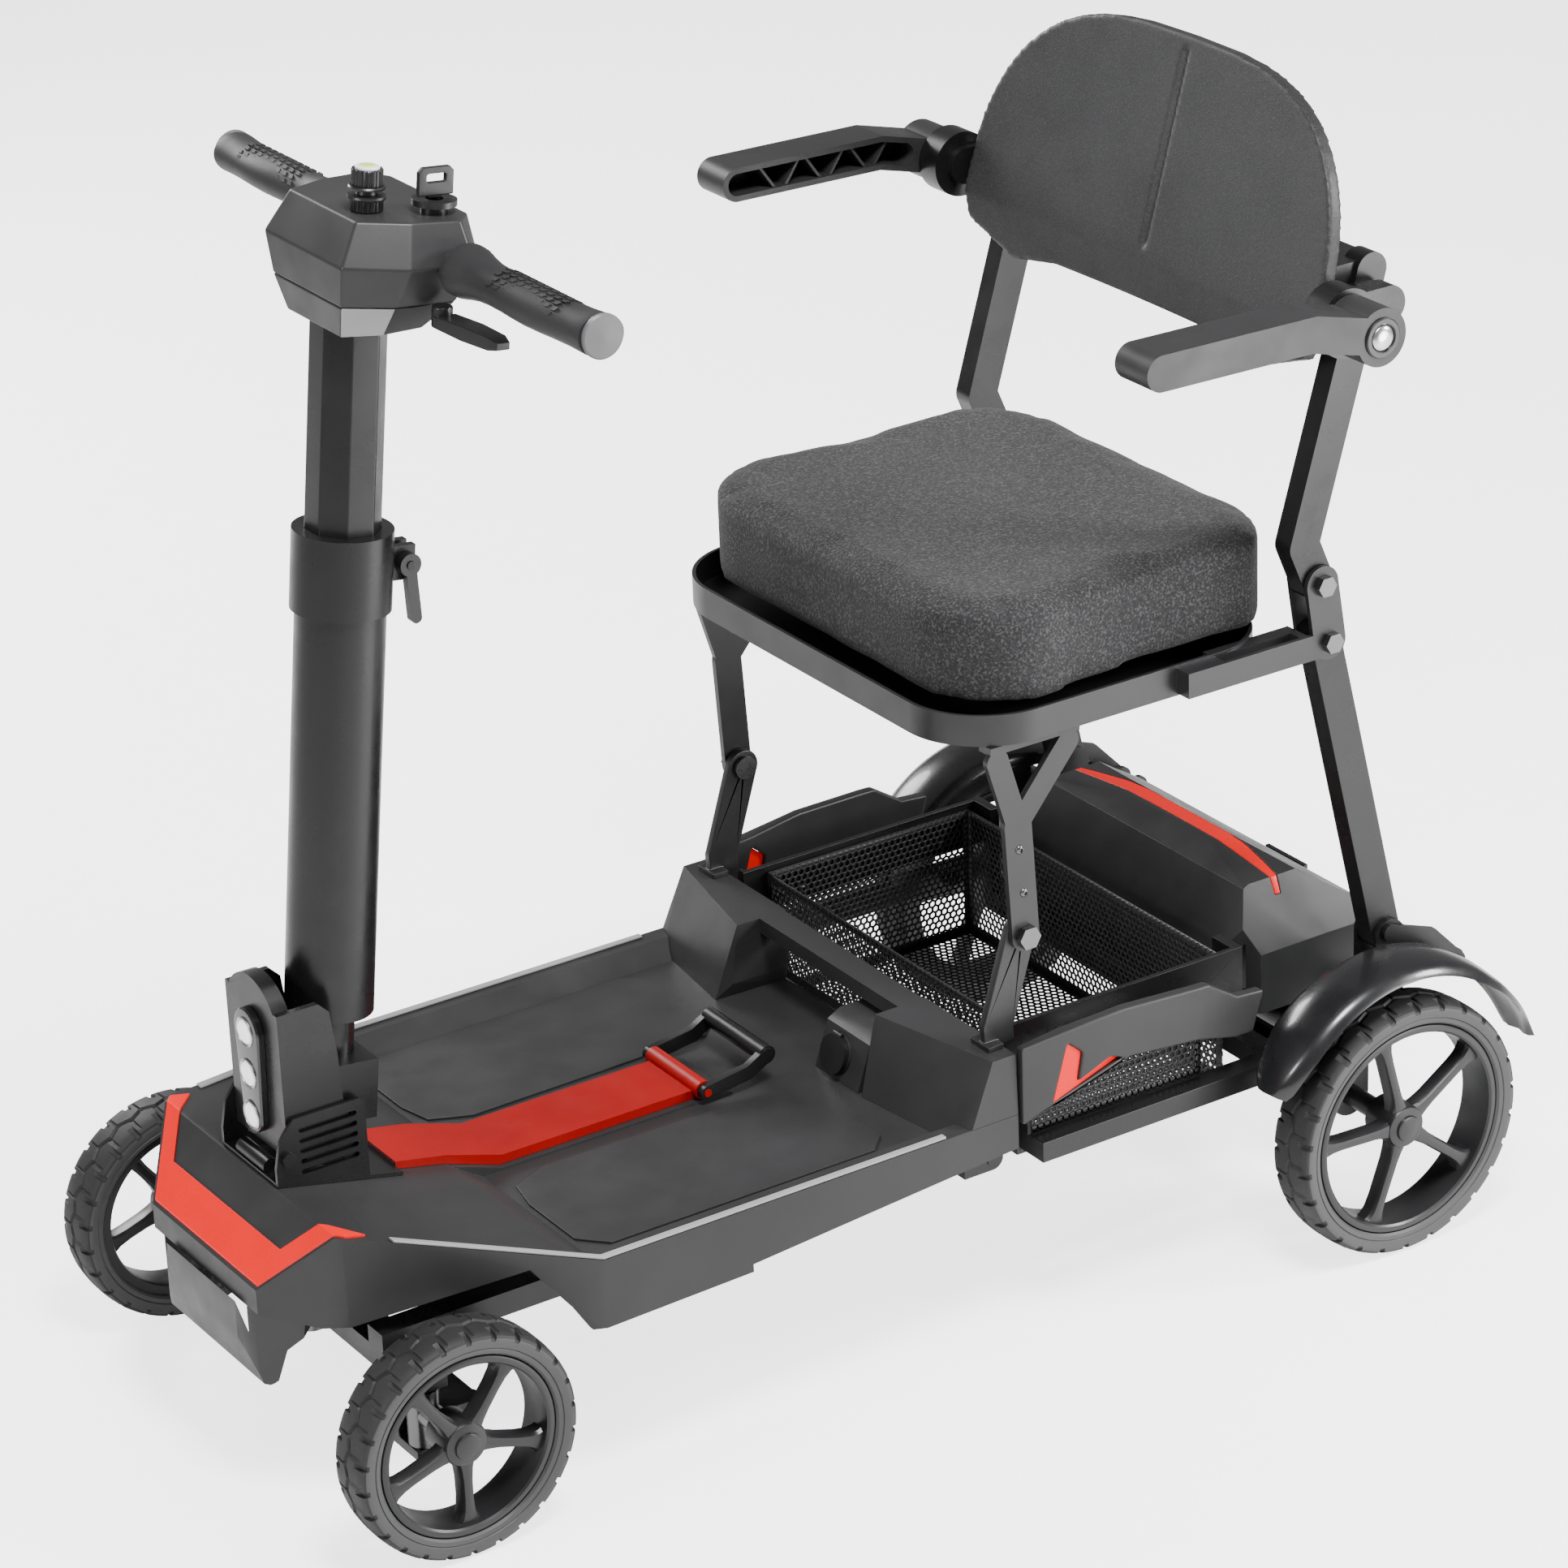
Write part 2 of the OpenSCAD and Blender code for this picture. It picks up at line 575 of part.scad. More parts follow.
// ---------- tiller ----------
module tiller_bracket() color(black) scooter() difference() {
    union() {
        pair() xz(column_r + 1, column_r + 6) polygon([
            [front_x - 28, 211], [front_x - 35, 222], [front_x - 33, 240], [front_x - 20, 256],
            [front_x - 18, 300], [front_x - 14, 334], [front_x - 6, 342], [bracket_x, 342],
            [bracket_x, 250], [front_x + 10, 226], [front_x - 14, 213]]);
        yz(front_x + 14, bracket_x) {
            translate([0, 322]) circle(column_r + 6);
            translate([-column_r - 6, 232]) square([2 * column_r + 12, 90]);
        }
        in_column() block([-22, 22], [-column_r - 1.5, column_r + 1.5], [-74, -30]);
        block([front_x - 12, front_x + 16], [-column_r - 1.5, column_r + 1.5], [245, 285]);
    }
    in_column() translate([0, 0, -100]) cylinder(r = 18 + fit, h = 100);
    shaft_y(kingpin_r + fit, [-40, 40], tilt_pt);
}
module headlight() color(silver) scooter() {
    difference() {
        yz(bracket_x + gap, bracket_x + 6) bar([0, led_z[0]], [0, led_z[2]], 30);
        for (z = led_z) translate([bracket_x - 2, 0, z]) rotate([0, 90, 0]) cylinder(r = 9, h = 20);
    }
    for (z = led_z) translate([bracket_x + gap, 0, z]) rotate([0, 90, 0]) cylinder(r = 8.8, h = 7.5);
}
module lower_column() color(black) scooter() in_column() difference() {
    union() {
        cylinder(r = column_r, h = col_len);
        translate([0, 0, -72]) cylinder(r = 18, h = 80);
    }
    translate([0, 0, 22]) cylinder(r = inner_r + gap, h = col_len);
}
module column_collar() color(black) scooter() in_column() {
    clamp_z = collar_lo + 28;
    difference() {
        union() {
            translate([0, 0, collar_lo]) cylinder(r = column_r + 3.5, h = collar_h);
            pair() block([-column_r - 20, -column_r], [3, 9], [clamp_z - 12, clamp_z + 12]);
        }
        translate([0, 0, collar_lo - 1]) cylinder(r = column_r + fit, h = col_len - collar_lo + 1.1);
        translate([0, 0, 200]) rotate(22.5) cylinder(r = inner_r + gap, h = 200, $fn = 8);
        shaft_y(3 + fit, [-10, 10], [-column_r - 13, clamp_z]);
    }
    shaft_y(3, [-12, 17], [-column_r - 13, clamp_z]);
    shaft_y(5.5, [-13, -9.2], [-column_r - 13, clamp_z]);
}
module clamp_lever() color(black) scooter() in_column() difference() {
    p = [-column_r - 13, collar_lo + 28];
    xz(9 + gap, 16) union() {
        bar(p, p + [-6, -38], 8);
        translate(p) circle(8);
    }
    shaft_y(3 + fit, [5, 20], p);
}
module upper_column() color(black) scooter() in_column() difference() {
    translate([0, 0, inner_lo]) rotate(22.5) cylinder(r = inner_r, h = head_s - 18 - inner_lo, $fn = 8);
    translate([0, 0, inner_lo - 1]) cylinder(r = inner_r - 5, h = head_s);
}
module flat(z, pts) translate([0, 0, z]) linear_extrude(0.1) polygon(pts);
function mirrored(pts) = concat(pts, [for (i = [len(pts) - 1:-1:0]) [pts[i][0], -pts[i][1]]]);
module head_shell() color(plastic) scooter() in_column() difference() {
    hull() {
        flat(head_top, mirrored([[27, 58], [-9, 74], [-57, 55]]));
        flat(head_s - 4, mirrored([[52, 30], [30, 89], [-46, 89], [-74, 46]]));
        flat(head_s - 26, mirrored([[46, 24], [20, 64], [-40, 64], [-60, 34]]));
    }
    translate([0, 0, 300]) rotate(22.5) cylinder(r = inner_r + 0.1, h = head_s - 317.9, $fn = 8);
    shaft_y(11 + fit, [-110, 110], [-40, head_s]);
    translate([dial_at[0], dial_at[1], head_s]) cylinder(r = 6 + fit, h = 60);
    translate([key_at[0], key_at[1], head_s + 12]) cylinder(r = 9.2, h = 60);
    translate([-28, 72, head_s - 40]) cylinder(r = 3 + fit, h = 34);
    translate([-28, 72, head_s - 45]) cylinder(r = 8.5, h = 27);
}
module head_insert() color(plastic) scooter() in_column() difference() {
    hull() {
        flat(head_s - 26.4, mirrored([[45, 23], [20, 62], [-40, 62], [-58, 33]]));
        flat(head_s - 54, mirrored([[34, 18], [14, 34], [-30, 34], [-38, 18]]));
    }
    translate([0, 0, 300]) rotate(22.5) cylinder(r = inner_r + 0.1, h = 300, $fn = 8);
    translate([-28, 72, head_s - 60]) cylinder(r = 16, h = 60);
}
module handlebar() color(silver) scooter() in_column() shaft_y(11, [5 - grip_y, grip_y - 5],
    [-40, head_s]);
module grips() color(rubber) scooter() in_column() pair() difference() {
    union() {
        shaft_y(15, [90, grip_y], [-40, head_s]);
        shaft_y(19, [92.5, 100], [-40, head_s]);
        shaft_y(16.5, [grip_y - 14, grip_y - 2], [-40, head_s]);
    }
    shaft_y(11 + fit, [80, grip_y - 4.9], [-40, head_s]);
    block([-70, -10], [80, 92.5], [head_s - 40, head_s + 40]);
}
module speed_dial() color(black) scooter() in_column() translate([dial_at[0], dial_at[1], 0]) {
    translate([0, 0, head_s + 1]) cylinder(r = 6, h = 40);
    translate([0, 0, head_top + gap]) cylinder(r = 13, h = 3);
    translate([0, 0, head_top + 3]) cylinder(r = 9, h = 6);
    translate([0, 0, head_top + 8]) cylinder(r = 11.5, h = 24);
}
module key_switch() color(black) scooter() in_column() translate([key_at[0], key_at[1], 0]) difference() {
    union() {
        translate([0, 0, head_s + 12.5]) cylinder(r = 9, h = 24);
        translate([0, 0, head_top + 5]) cylinder(r = 15, h = 4);
    }
    translate([0, 0, head_s + 16]) cylinder(r = 6, h = 40);
}
module ignition_key() color(silver) scooter() in_column() translate([key_at[0], key_at[1], 0]) {
    block([-5, 5], [-1.2, 1.2], [head_s + 16.3, head_top + 12]);
    difference() {
        block([-13, 13], [-2, 2], [head_top + 11, head_top + 30]);
        block([-7, 7], [-3, 3], [head_top + 20, head_top + 25]);
    }
}
module throttle_paddle() color(black) scooter() in_column() {
    translate([-28, 72, head_s - 38]) cylinder(r = 3, h = 30);
    translate([-28, 72, head_s - 40]) cylinder(r = 7, h = 18);
    difference() {
        block([-36, -22], [74, 142], [head_s - 39, head_s - 31]);
        block([-30, 0], [110, 150], [head_s - 40, head_s - 30]);
    }
}

// ---------- seat ----------
module seat_pan() color(black) scooter() {
    difference() {
        translate([0, 0, seat_z]) linear_extrude(pan_h) round_plan(pan_back, pan_front,
            seat_half_w, 64, 60);
        translate([0, 0, seat_z + 3]) linear_extrude(pan_h)
            round_plan(pan_back + 3, pan_front - 3, seat_half_w - 3, 61, 57);
    }
    pair() difference() {
        union() {
            xz(tube_out + gap, tube_out + ear_t) bar(ear_back, ear_leg, 28);
            xz(tube_in - ear_t, tube_in - gap) bar(ear_back, ear_leg, 24);
            block([30, 150], [tube_out + gap, tube_out + ear_t], [seat_z + 2, seat_z + 21]);
            block([116, 150], [seat_half_w - 1, tube_out + 1], [seat_z + 2, seat_z + 21]);
            block([42, 118], [tube_in - ear_t, seat_half_w], [seat_z + 2, seat_z + 21]);
            block([42, 49], [tube_in - 1, tube_out + 1], [seat_z + 2, seat_z + 21]);
        }
        for (p = [ear_back, ear_leg]) shaft_y(5 + fit, [tube_in - 10, tube_out + 10], p);
    }
}
// Y-shaped plates under the seat
module seat_brackets() color(black) scooter() pair() difference() {
    union() {
        xz(tube_in - 3, tube_in + 2) {
            bar(leg_pivot, [284, seat_z - 64], 23);
            bar([285, seat_z - 62], [300, seat_z - 12], 18);
            bar([282, seat_z - 62], [240, seat_z - 12], 18);
        }
        block([230, 306], [tube_in - 12, tube_in + 2], [seat_z - 6, seat_z - gap]);
    }
    shaft_y(5 + fit, [tube_in - 12, tube_in + 10], leg_pivot);
}
// the cushion is narrower at the back, where the backrest tubes fold down beside it
module seat_cushion() color(fabric) scooter() translate([0, 0, cushion_lo])
    linear_extrude(cushion_t) difference() {
        round_plan(cushion_back, cushion_front, seat_half_w + 2, 80, 85);
        for (s = [-1, 1]) scale([1, s]) polygon([
            [cushion_back - 1, tube_in - 2], [162, tube_in - 2], [290, seat_half_w + 3],
            [cushion_back - 1, seat_half_w + 3]]);
    }
module pivot_bolts() color(silver) scooter() pair() {
    shaft_y(5, [tube_in - 14, tube_in + 2.5], leg_pivot);
    xz(tube_in + 2.5, tube_in + 8) translate(leg_pivot) circle(9, $fn = 6);
    shaft_y(9, [tube_in - 14, tube_in - 10.3], leg_pivot);
    for (p = [ear_back, ear_leg]) {
        shaft_y(5, [tube_in - ear_t - 3, tube_out + ear_t + 1], p);
        xz(tube_out + ear_t + 0.2, tube_out + ear_t + 6) translate(p) circle(8, $fn = 6);
    }
}
module rear_legs() color(black) scooter() pair() difference() {
    xz(tube_in + gap, tube_out - gap) bar(ear_leg, catch_pt, 26);
    shaft_y(5 + fit, [tube_in - 1, tube_out + 1], ear_leg);
    shaft_y(8.5, [tube_in - 1, tube_out + 1], catch_pt);
}
// front face of the backrest shell at height z
function back_x(z) = back_base[0] - (z - back_base[2]) * tan(back_lean);
module backrest_tubes() color(black) scooter() pair() {
    hub = arm_pivot;
    elbow = [4, seat_z + 219];
    top = elbow + [-18, 62];
    difference() {
        xz(tube_in + gap, tube_out - gap) bars([ear_back, ear_back + [13, 31], elbow, top], 26);
        shaft_y(5 + fit, [tube_in - 1, tube_out + 1], ear_back);
    }
    // bridge from the tube's top to the back of the shell
    xz(tube_in - 30, tube_out - 4) polygon([
        [top[0] - 8, top[1] - 8], [back_x(top[1] - 8) - back_t * 1.06, top[1] - 8],
        [back_x(top[1] + 8) - back_t * 1.06, top[1] + 8], [top[0] - 8, top[1] + 8]]);
    xz(tube_out - 4, arm_in - 14) bar([-10, hub[1]], [0, hub[1]], 22);
    xz(tube_out + 8, arm_in - 12) bar([-10, hub[1]], hub, 28);
    shaft_y(25, [arm_in - 22, arm_in - gap], hub);
    shaft_y(6, [arm_in - 1, arm_in + arm_w - 1], hub);
}
module backrest_outline() {
    w = seat_half_w + 14;
    rise = (seat_z + back_h - back_base[2]) / cos(back_lean);
    polygon(concat(
        [[-w + 60, 0], [-w + 8, 20], [-w, 40]],
        [for (t = [0:6:180]) [-w * sign(cos(t)) * pow(abs(cos(t)), 0.62),
        60 + (rise - 60) * pow(sin(t), 0.9)]],
        [[w, 40], [w - 8, 20], [w - 60, 0], [w - 110, 8], [-w + 110, 8]]));
}
module backrest_shell() color(fabric) scooter() difference() {
    translate(back_base) rotate([0, -back_lean, 0]) yz(-back_t, 0) backrest_outline();
    translate(back_base) rotate([0, -back_lean, 0]) yz(-3, 1) bar([0, 50], [0, 190], 7);
}
module armrest() {
    y0 = arm_in;
    tip = [arm_pivot[0] + arm_len, arm_pivot[1] + 17];
    bend = [arm_pivot[0] + 58, arm_pivot[1] + 15];
    difference() {
        union() {
            xz(y0, y0 + arm_w) {
                translate(arm_pivot) circle(21);
                bars([arm_pivot, bend, tip], 26);
            }
        }
        difference() {
            xz(y0 - 1, y0 + arm_w - 8) bars([arm_pivot + [38, 10], bend, tip], 17);
            for (i = [0:5]) xz(y0 + 2, y0 + arm_w) {
                x = bend[0] + 20 * i;
                translate([x, bend[1]]) rotate(i % 2 == 0 ? 35 : -35) square([2, 50], center = true);
            }
        }
        shaft_y(6 + fit, [y0 - 1, y0 + arm_w + 1], arm_pivot);
    }
}
module armrest_left() color(plastic) scooter() armrest();
module armrest_right() color(plastic) scooter() mirror([0, 1, 0]) armrest();

// ---------- wheels ----------
module tyre(r, w) rotate([90, 0, 0]) rotate_extrude() polygon([
    [r - 17, -w / 2 + 3], [r - 6, -w / 2], [r - 1.5, -w / 2 + 4], [r, -w / 2 + 9],
    [r, w / 2 - 9], [r - 1.5, w / 2 - 4], [r - 6, w / 2], [r - 17, w / 2 - 3]]);
module rim(r, w, bore, depth) difference() {
    union() {
        difference() {
            shaft_y(r - 17 - fit, [-w / 2 + 4, w / 2 - 4], [0, 0]);
            shaft_y(r - 24, [-w / 2, w / 2], [0, 0]);
        }
        shaft_y(16, [-w / 2 + 3, w / 2 - 5], [0, 0]);
        for (i = [0:4]) rotate([0, 72 * i + 20, 0]) block([10, r - 22], [w / 2 - 18, w / 2 - 8],
            [-6.5, 6.5]);
    }
    shaft_y(bore, [-w, depth], [0, 0]);
}
module at_wheel(x, y, r) translate([x, y, r]) children();
module rear_tyre_left() color(rubber) scooter() at_wheel(0, rear_face - tyre_w / 2,
    rear_r) tyre(rear_r, tyre_w);
module rear_tyre_right() color(rubber) scooter() mirror([0, 1, 0])
    at_wheel(0, rear_face - tyre_w / 2, rear_r) tyre(rear_r, tyre_w);
module rear_rim() {
    at_wheel(0, rear_face - tyre_w / 2, rear_r) rim(rear_r, tyre_w, 8 + fit, 10);
    shaft_y(8, [189, rear_face - 11], [0, rear_r]);
}
module rear_rim_left() color(plastic) scooter() rear_rim();
module rear_rim_right() color(plastic) scooter() mirror([0, 1, 0]) rear_rim();
module front_tyre() at_wheel(front_x, front_face - tyre_w / 2, front_r) tyre(front_r, tyre_w);
module front_rim() at_wheel(front_x, front_face - tyre_w / 2, front_r) rim(front_r, tyre_w, 6 + fit, 11);
module front_tyre_left() color(rubber) scooter() front_tyre();
module front_tyre_right() color(rubber) scooter() mirror([0, 1, 0]) front_tyre();
module front_rim_left() color(plastic) scooter() front_rim();
module front_rim_right() color(plastic) scooter() mirror([0, 1, 0]) front_rim();

rear_frame();
rear_housing();
rear_lights();
battery_pack();
rear_axle();
fenders();
side_covers();
cargo_basket();
hinge_pin();
leg_catches();
leg_latch();
deck_shell();
front_frame();
front_bumper();
chevron_light();
foot_mats();
edge_trim();
leg_towers();
charge_port();
charge_cover();
front_legs();
tiller_base();
fold_strap();
fold_handle();
pitman_arm();
tie_rod();
front_axle_beam();
knuckle_left();
knuckle_right();
tiller_bracket();
headlight();
lower_column();
column_collar();
clamp_lever();
upper_column();
head_shell();
head_insert();
handlebar();
grips();
speed_dial();
key_switch();
ignition_key();
throttle_paddle();
seat_pan();
seat_brackets();
seat_cushion();
pivot_bolts();
rear_legs();
backrest_tubes();
backrest_shell();
armrest_left();
armrest_right();
rear_tyre_left();
rear_rim_left();
rear_tyre_right();
rear_rim_right();
front_tyre_left();
front_rim_left();
front_tyre_right();
front_rim_right();
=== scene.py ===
import bpy
import bmesh
import math
from mathutils import Matrix, Quaternion, Vector


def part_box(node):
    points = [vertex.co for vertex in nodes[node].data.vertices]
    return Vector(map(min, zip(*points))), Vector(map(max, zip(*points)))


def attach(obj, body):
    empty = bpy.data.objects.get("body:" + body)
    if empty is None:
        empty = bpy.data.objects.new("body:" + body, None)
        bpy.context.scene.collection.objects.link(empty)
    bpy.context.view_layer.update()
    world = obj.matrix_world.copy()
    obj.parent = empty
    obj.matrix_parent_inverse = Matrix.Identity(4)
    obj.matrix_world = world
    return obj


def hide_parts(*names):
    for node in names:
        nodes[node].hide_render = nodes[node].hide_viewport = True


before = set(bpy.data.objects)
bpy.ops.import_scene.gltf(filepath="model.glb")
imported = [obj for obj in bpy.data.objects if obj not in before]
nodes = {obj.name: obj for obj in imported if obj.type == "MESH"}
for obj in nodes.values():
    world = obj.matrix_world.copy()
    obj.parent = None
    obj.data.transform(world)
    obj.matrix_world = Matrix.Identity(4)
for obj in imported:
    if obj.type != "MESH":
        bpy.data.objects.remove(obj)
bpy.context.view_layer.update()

# ---------------------------------------------------------------- places
# Everything is placed from the rear axle's foot, in millimetres: x forward, y to the rider's left.
MM = 0.001
SIDES = ((1, "left"), (-1, "right"))


def middle(node):
    low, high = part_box(node)
    return (low + high) / 2


def size(node):
    low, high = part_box(node)
    return (high - low) / MM


REAR_AXLE = middle("rear_tyre_left")
FRONT_AXLE = middle("front_tyre_left")


def at(x, y, z):
    """A point given in millimetres from the rear axle's foot, in the row frame."""
    return Vector((REAR_AXLE.x + x * MM, y * MM, z * MM))


WHEELBASE = (FRONT_AXLE.x - REAR_AXLE.x) / MM
LEAN = math.radians(6.4)
COLUMN_FOOT = (WHEELBASE - 33, 0, 317)


def in_column(x, y, s):
    """A point of the leaning column: x ahead of its axis, y to the left, s along it."""
    fx, fy, fz = COLUMN_FOOT
    return at(fx + x * math.cos(LEAN) - s * math.sin(LEAN), fy + y,
              fz + x * math.sin(LEAN) + s * math.cos(LEAN))


# ---------------------------------------------------------------- materials
ROUGH_SPREAD = 0.05


def material(name, color, rough, grain, vary=0.12, speckle=0.0, **sockets):
    """A procedural surface: fine grain (scale, height) in the bump, and slow mottling in colour and gloss."""
    mat = bpy.data.materials.new(name)
    mat.use_nodes = True
    tree = mat.node_tree
    shader = tree.nodes["Principled BSDF"]
    for key, value in sockets.items():
        shader.inputs[key.replace("_", " ")].default_value = value

    def add(kind, **settings):
        made = tree.nodes.new(kind)
        for key, value in settings.items():
            setattr(made, key, value)
        return made

    def noise(scale, detail):
        made = add("ShaderNodeTexNoise")
        made.inputs["Scale"].default_value = scale
        made.inputs["Detail"].default_value = detail
        tree.links.new(coords.outputs["Object"], made.inputs["Vector"])
        return made.outputs["Fac"]

    def scaled(value, low, high, start=0.35, stop=0.65):
        made = add("ShaderNodeMapRange")
        made.inputs["From Min"].default_value = start
        made.inputs["From Max"].default_value = stop
        made.inputs["To Min"].default_value = low
        made.inputs["To Max"].default_value = high
        tree.links.new(value, made.inputs["Value"])
        return made.outputs["Result"]

    def mixed(factor, first, second):
        made = add("ShaderNodeMix", data_type="RGBA")
        tree.links.new(factor, made.inputs["Factor"])
        for socket, value in ((made.inputs[6], first), (made.inputs[7], second)):
            if isinstance(value, tuple):
                socket.default_value = (*value, 1)
            else:
                tree.links.new(value, socket)
        return made.outputs[2]

    coords = add("ShaderNodeTexCoord")
    mottle = noise(9, 5)
    darker, paler = (tuple(c * (1 + change) for c in color) for change in (-vary, vary))
    shade = mixed(scaled(mottle, 0, 1), darker, paler)
    fine = noise(grain[0], 3)
    if speckle:
        light_fleck = tuple(min(1, c * 3.2 + 0.02) for c in color)
        dark_fleck = tuple(c * 0.35 for c in color)
        shade = mixed(scaled(fine, 0, speckle, 0.52, 0.66), shade, light_fleck)
        shade = mixed(scaled(fine, speckle, 0, 0.34, 0.46), shade, dark_fleck)
    tree.links.new(shade, shader.inputs["Base Color"])
    gloss = scaled(noise(34, 6), rough - ROUGH_SPREAD, rough + ROUGH_SPREAD)
    tree.links.new(gloss, shader.inputs["Roughness"])
    bump = add("ShaderNodeBump")
    bump.inputs["Strength"].default_value = min(1, grain[1] * 4)
    bump.inputs["Distance"].default_value = grain[1] * MM
    tree.links.new(fine, bump.inputs["Height"])
    tree.links.new(bump.outputs["Normal"], shader.inputs["Normal"])
    return mat


SHELL = material("moulded_shell", (0.024, 0.024, 0.025), 0.4, (1500, 0.10), Specular_IOR_Level=0.35)
PANEL = material("textured_panel", (0.022, 0.022, 0.023), 0.5, (1100, 0.2), speckle=0.3,
                 Specular_IOR_Level=0.35)
COAT = material("powder_coat", (0.006, 0.006, 0.0065), 0.3, (2600, 0.07), Specular_IOR_Level=0.45)
COAT_GREY = material("powder_coat_grey", (0.013, 0.013, 0.014), 0.36, (2600, 0.07))
BLACK = material("black_plastic", (0.010, 0.010, 0.011), 0.36, (1700, 0.06))
GLOSS = material("gloss_black", (0.008, 0.008, 0.009), 0.14, (400, 0.01), Coat_Weight=0.5)
GLOSS_SOFT = material("satin_black", (0.010, 0.010, 0.011), 0.27, (500, 0.015), Coat_Weight=0.25)
LAMP = material("red_lamp", (0.72, 0.0, 0.0), 0.3, (300, 0.01), vary=0.05, Specular_IOR_Level=0.25,
                Emission_Color=(1, 0, 0, 1), Emission_Strength=0.25)
RED = material("red_paint", (0.30, 0.0, 0.0), 0.38, (2200, 0.05), Specular_IOR_Level=0.3)
BOLT = material("dark_zinc", (0.16, 0.16, 0.165), 0.3, (1800, 0.05), Metallic=1.0)
# Pale grey: on the deck's edge trim it is a painted highlight, the light along the near edge's chamfer; it
# also colours the pale panel on the head's foot.
HIGHLIGHT_AND_PANEL_GREY = material("edge_highlight_and_panel_grey", (0.30, 0.30, 0.305), 0.42, (1500, 0.08), vary=0.06)
FABRIC = material("cushion_cloth", (0.024, 0.024, 0.025), 0.92, (560, 0.6), speckle=0.6, Sheen_Weight=0.08,
                  Specular_IOR_Level=0.2)
TREAD = material("tyre_tread", (0.011, 0.011, 0.011), 0.62, (900, 0.15))
WALL = material("tyre_wall", (0.046, 0.046, 0.047), 0.5, (1300, 0.08))
RIM = material("wheel_plastic", (0.013, 0.013, 0.014), 0.36, (1500, 0.06))
GRIP = material("grip_rubber", (0.014, 0.014, 0.015), 0.55, (1000, 0.15))
CAP = material("grip_cap", (0.12, 0.12, 0.125), 0.42, (1500, 0.06))
STEEL = material("zinc_steel", (0.62, 0.62, 0.63), 0.27, (1800, 0.05), Metallic=1.0)
NET = material("net_cord", (0.008, 0.008, 0.008), 0.5, (1800, 0.05))
LED = material("lamp_glass", (0.92, 0.93, 0.95), 0.1, (200, 0.01), vary=0.02, Coat_Weight=1.0,
               Emission_Color=(1, 1, 1, 1), Emission_Strength=0.9)
DIAL = material("dial_top", (0.62, 0.72, 0.16), 0.3, (300, 0.01))
WHITE = material("white_ring", (0.85, 0.85, 0.85), 0.3, (300, 0.01))


# ---------------------------------------------------------------- mesh code
TIP = 0.01  # the radius at which a turned profile closes on its axis
WELD = 1e-5
EDGE_STEPS = 2
EDGE_ANGLE = 30


class Shape:
    """Vertices and faces gathered from several closed forms, with a material number for each face."""

    def __init__(self):
        self.verts, self.faces, self.slots = [], [], []

    def add(self, verts, faces, mat=0):
        start = len(self.verts)
        self.verts += verts
        self.faces += [tuple(i + start for i in face) for face in faces]
        self.slots += list(mat) if isinstance(mat, (list, tuple)) else [mat] * len(faces)
        return self

    def loft(self, rings, mat=0, loop=False):
        """Skins rings of equal length; a loop joins the last ring to the first, and other ends are capped."""
        n = len(rings[0])
        faces = []
        for i in range(len(rings) - (0 if loop else 1)):
            j = (i + 1) % len(rings)
            faces += [(i * n + k, i * n + (k + 1) % n, j * n + (k + 1) % n, j * n + k) for k in range(n)]
        if not loop:
            last = (len(rings) - 1) * n
            faces += [tuple(range(n)), tuple(last + k for k in range(n))]
        return self.add([p for ring in rings for p in ring], faces, mat)

    def turned(self, profile, centre, axis=(0, 1, 0), segments=48, mat=0):
        """A closed (radius, height) profile turned about an axis through centre."""
        turn = Vector((0, 0, 1)).rotation_difference(Vector(axis))
        rings = []
        for i in range(segments):
            a = 2 * math.pi * i / segments
            points = [Vector((r * math.cos(a), r * math.sin(a), h)) * MM for r, h in profile]
            rings.append([centre + turn @ point for point in points])
        return self.loft(rings, mat, loop=True)

    def slab(self, outline, y0, y1):
        """An (x, z) outline made solid from y0 to y1."""
        return self.loft([[at(x, y, z) for x, z in outline] for y in (y0, y1)])

    def piece(self, name, mats, body, slot, replaces=(), bevel=0.0, angle=35):
        """The gathered forms as one object on its body, bevelled or with sharp edges above the angle."""
        mesh = bpy.data.meshes.new(name)
        mesh.from_pydata(self.verts, [], self.faces)
        for face, number in zip(mesh.polygons, self.slots):
            face.material_index = number
        work = bmesh.new()
        work.from_mesh(mesh)
        bmesh.ops.remove_doubles(work, verts=work.verts, dist=2e-6)
        bmesh.ops.recalc_face_normals(work, faces=work.faces)
        work.to_mesh(mesh)
        work.free()
        obj = bpy.data.objects.new(name, mesh)
        bpy.context.scene.collection.objects.link(obj)
        for mat in mats:
            mesh.materials.append(mat)
        if bevel:
            rounded(obj, bevel, angle)
        mesh.shade_smooth()
        if not bevel:
            mesh.set_sharp_from_angle(angle=math.radians(angle))
        return settle(obj, body, replaces)


def settle(obj, body, replaces=()):
    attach(obj, body)
    if replaces:
        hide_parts(*replaces)
    return obj


def weld(obj):
    obj.modifiers.new("weld", "WELD").merge_threshold = WELD


def bevelled(obj, width, segments, angle):
    bevel = obj.modifiers.new("edges", "BEVEL")
    bevel.width = width * MM
    bevel.segments = segments
    bevel.limit_method = "ANGLE"
    bevel.angle_limit = math.radians(angle)
    return bevel


def rounded(obj, width, angle):
    """Bevels the sharp edges, with normals that keep the flats flat."""
    bevelled(obj, width, EDGE_STEPS, angle).miter_outer = "MITER_ARC"
    obj.modifiers.new("normals", "WEIGHTED_NORMAL").keep_sharp = False


def soften(node, mat, width):
    """A carried-over CAD node gets its material and softened edges."""
    obj = nodes[node]
    obj.data.materials.clear()
    obj.data.materials.append(mat)
    weld(obj)
    rounded(obj, width, EDGE_ANGLE)


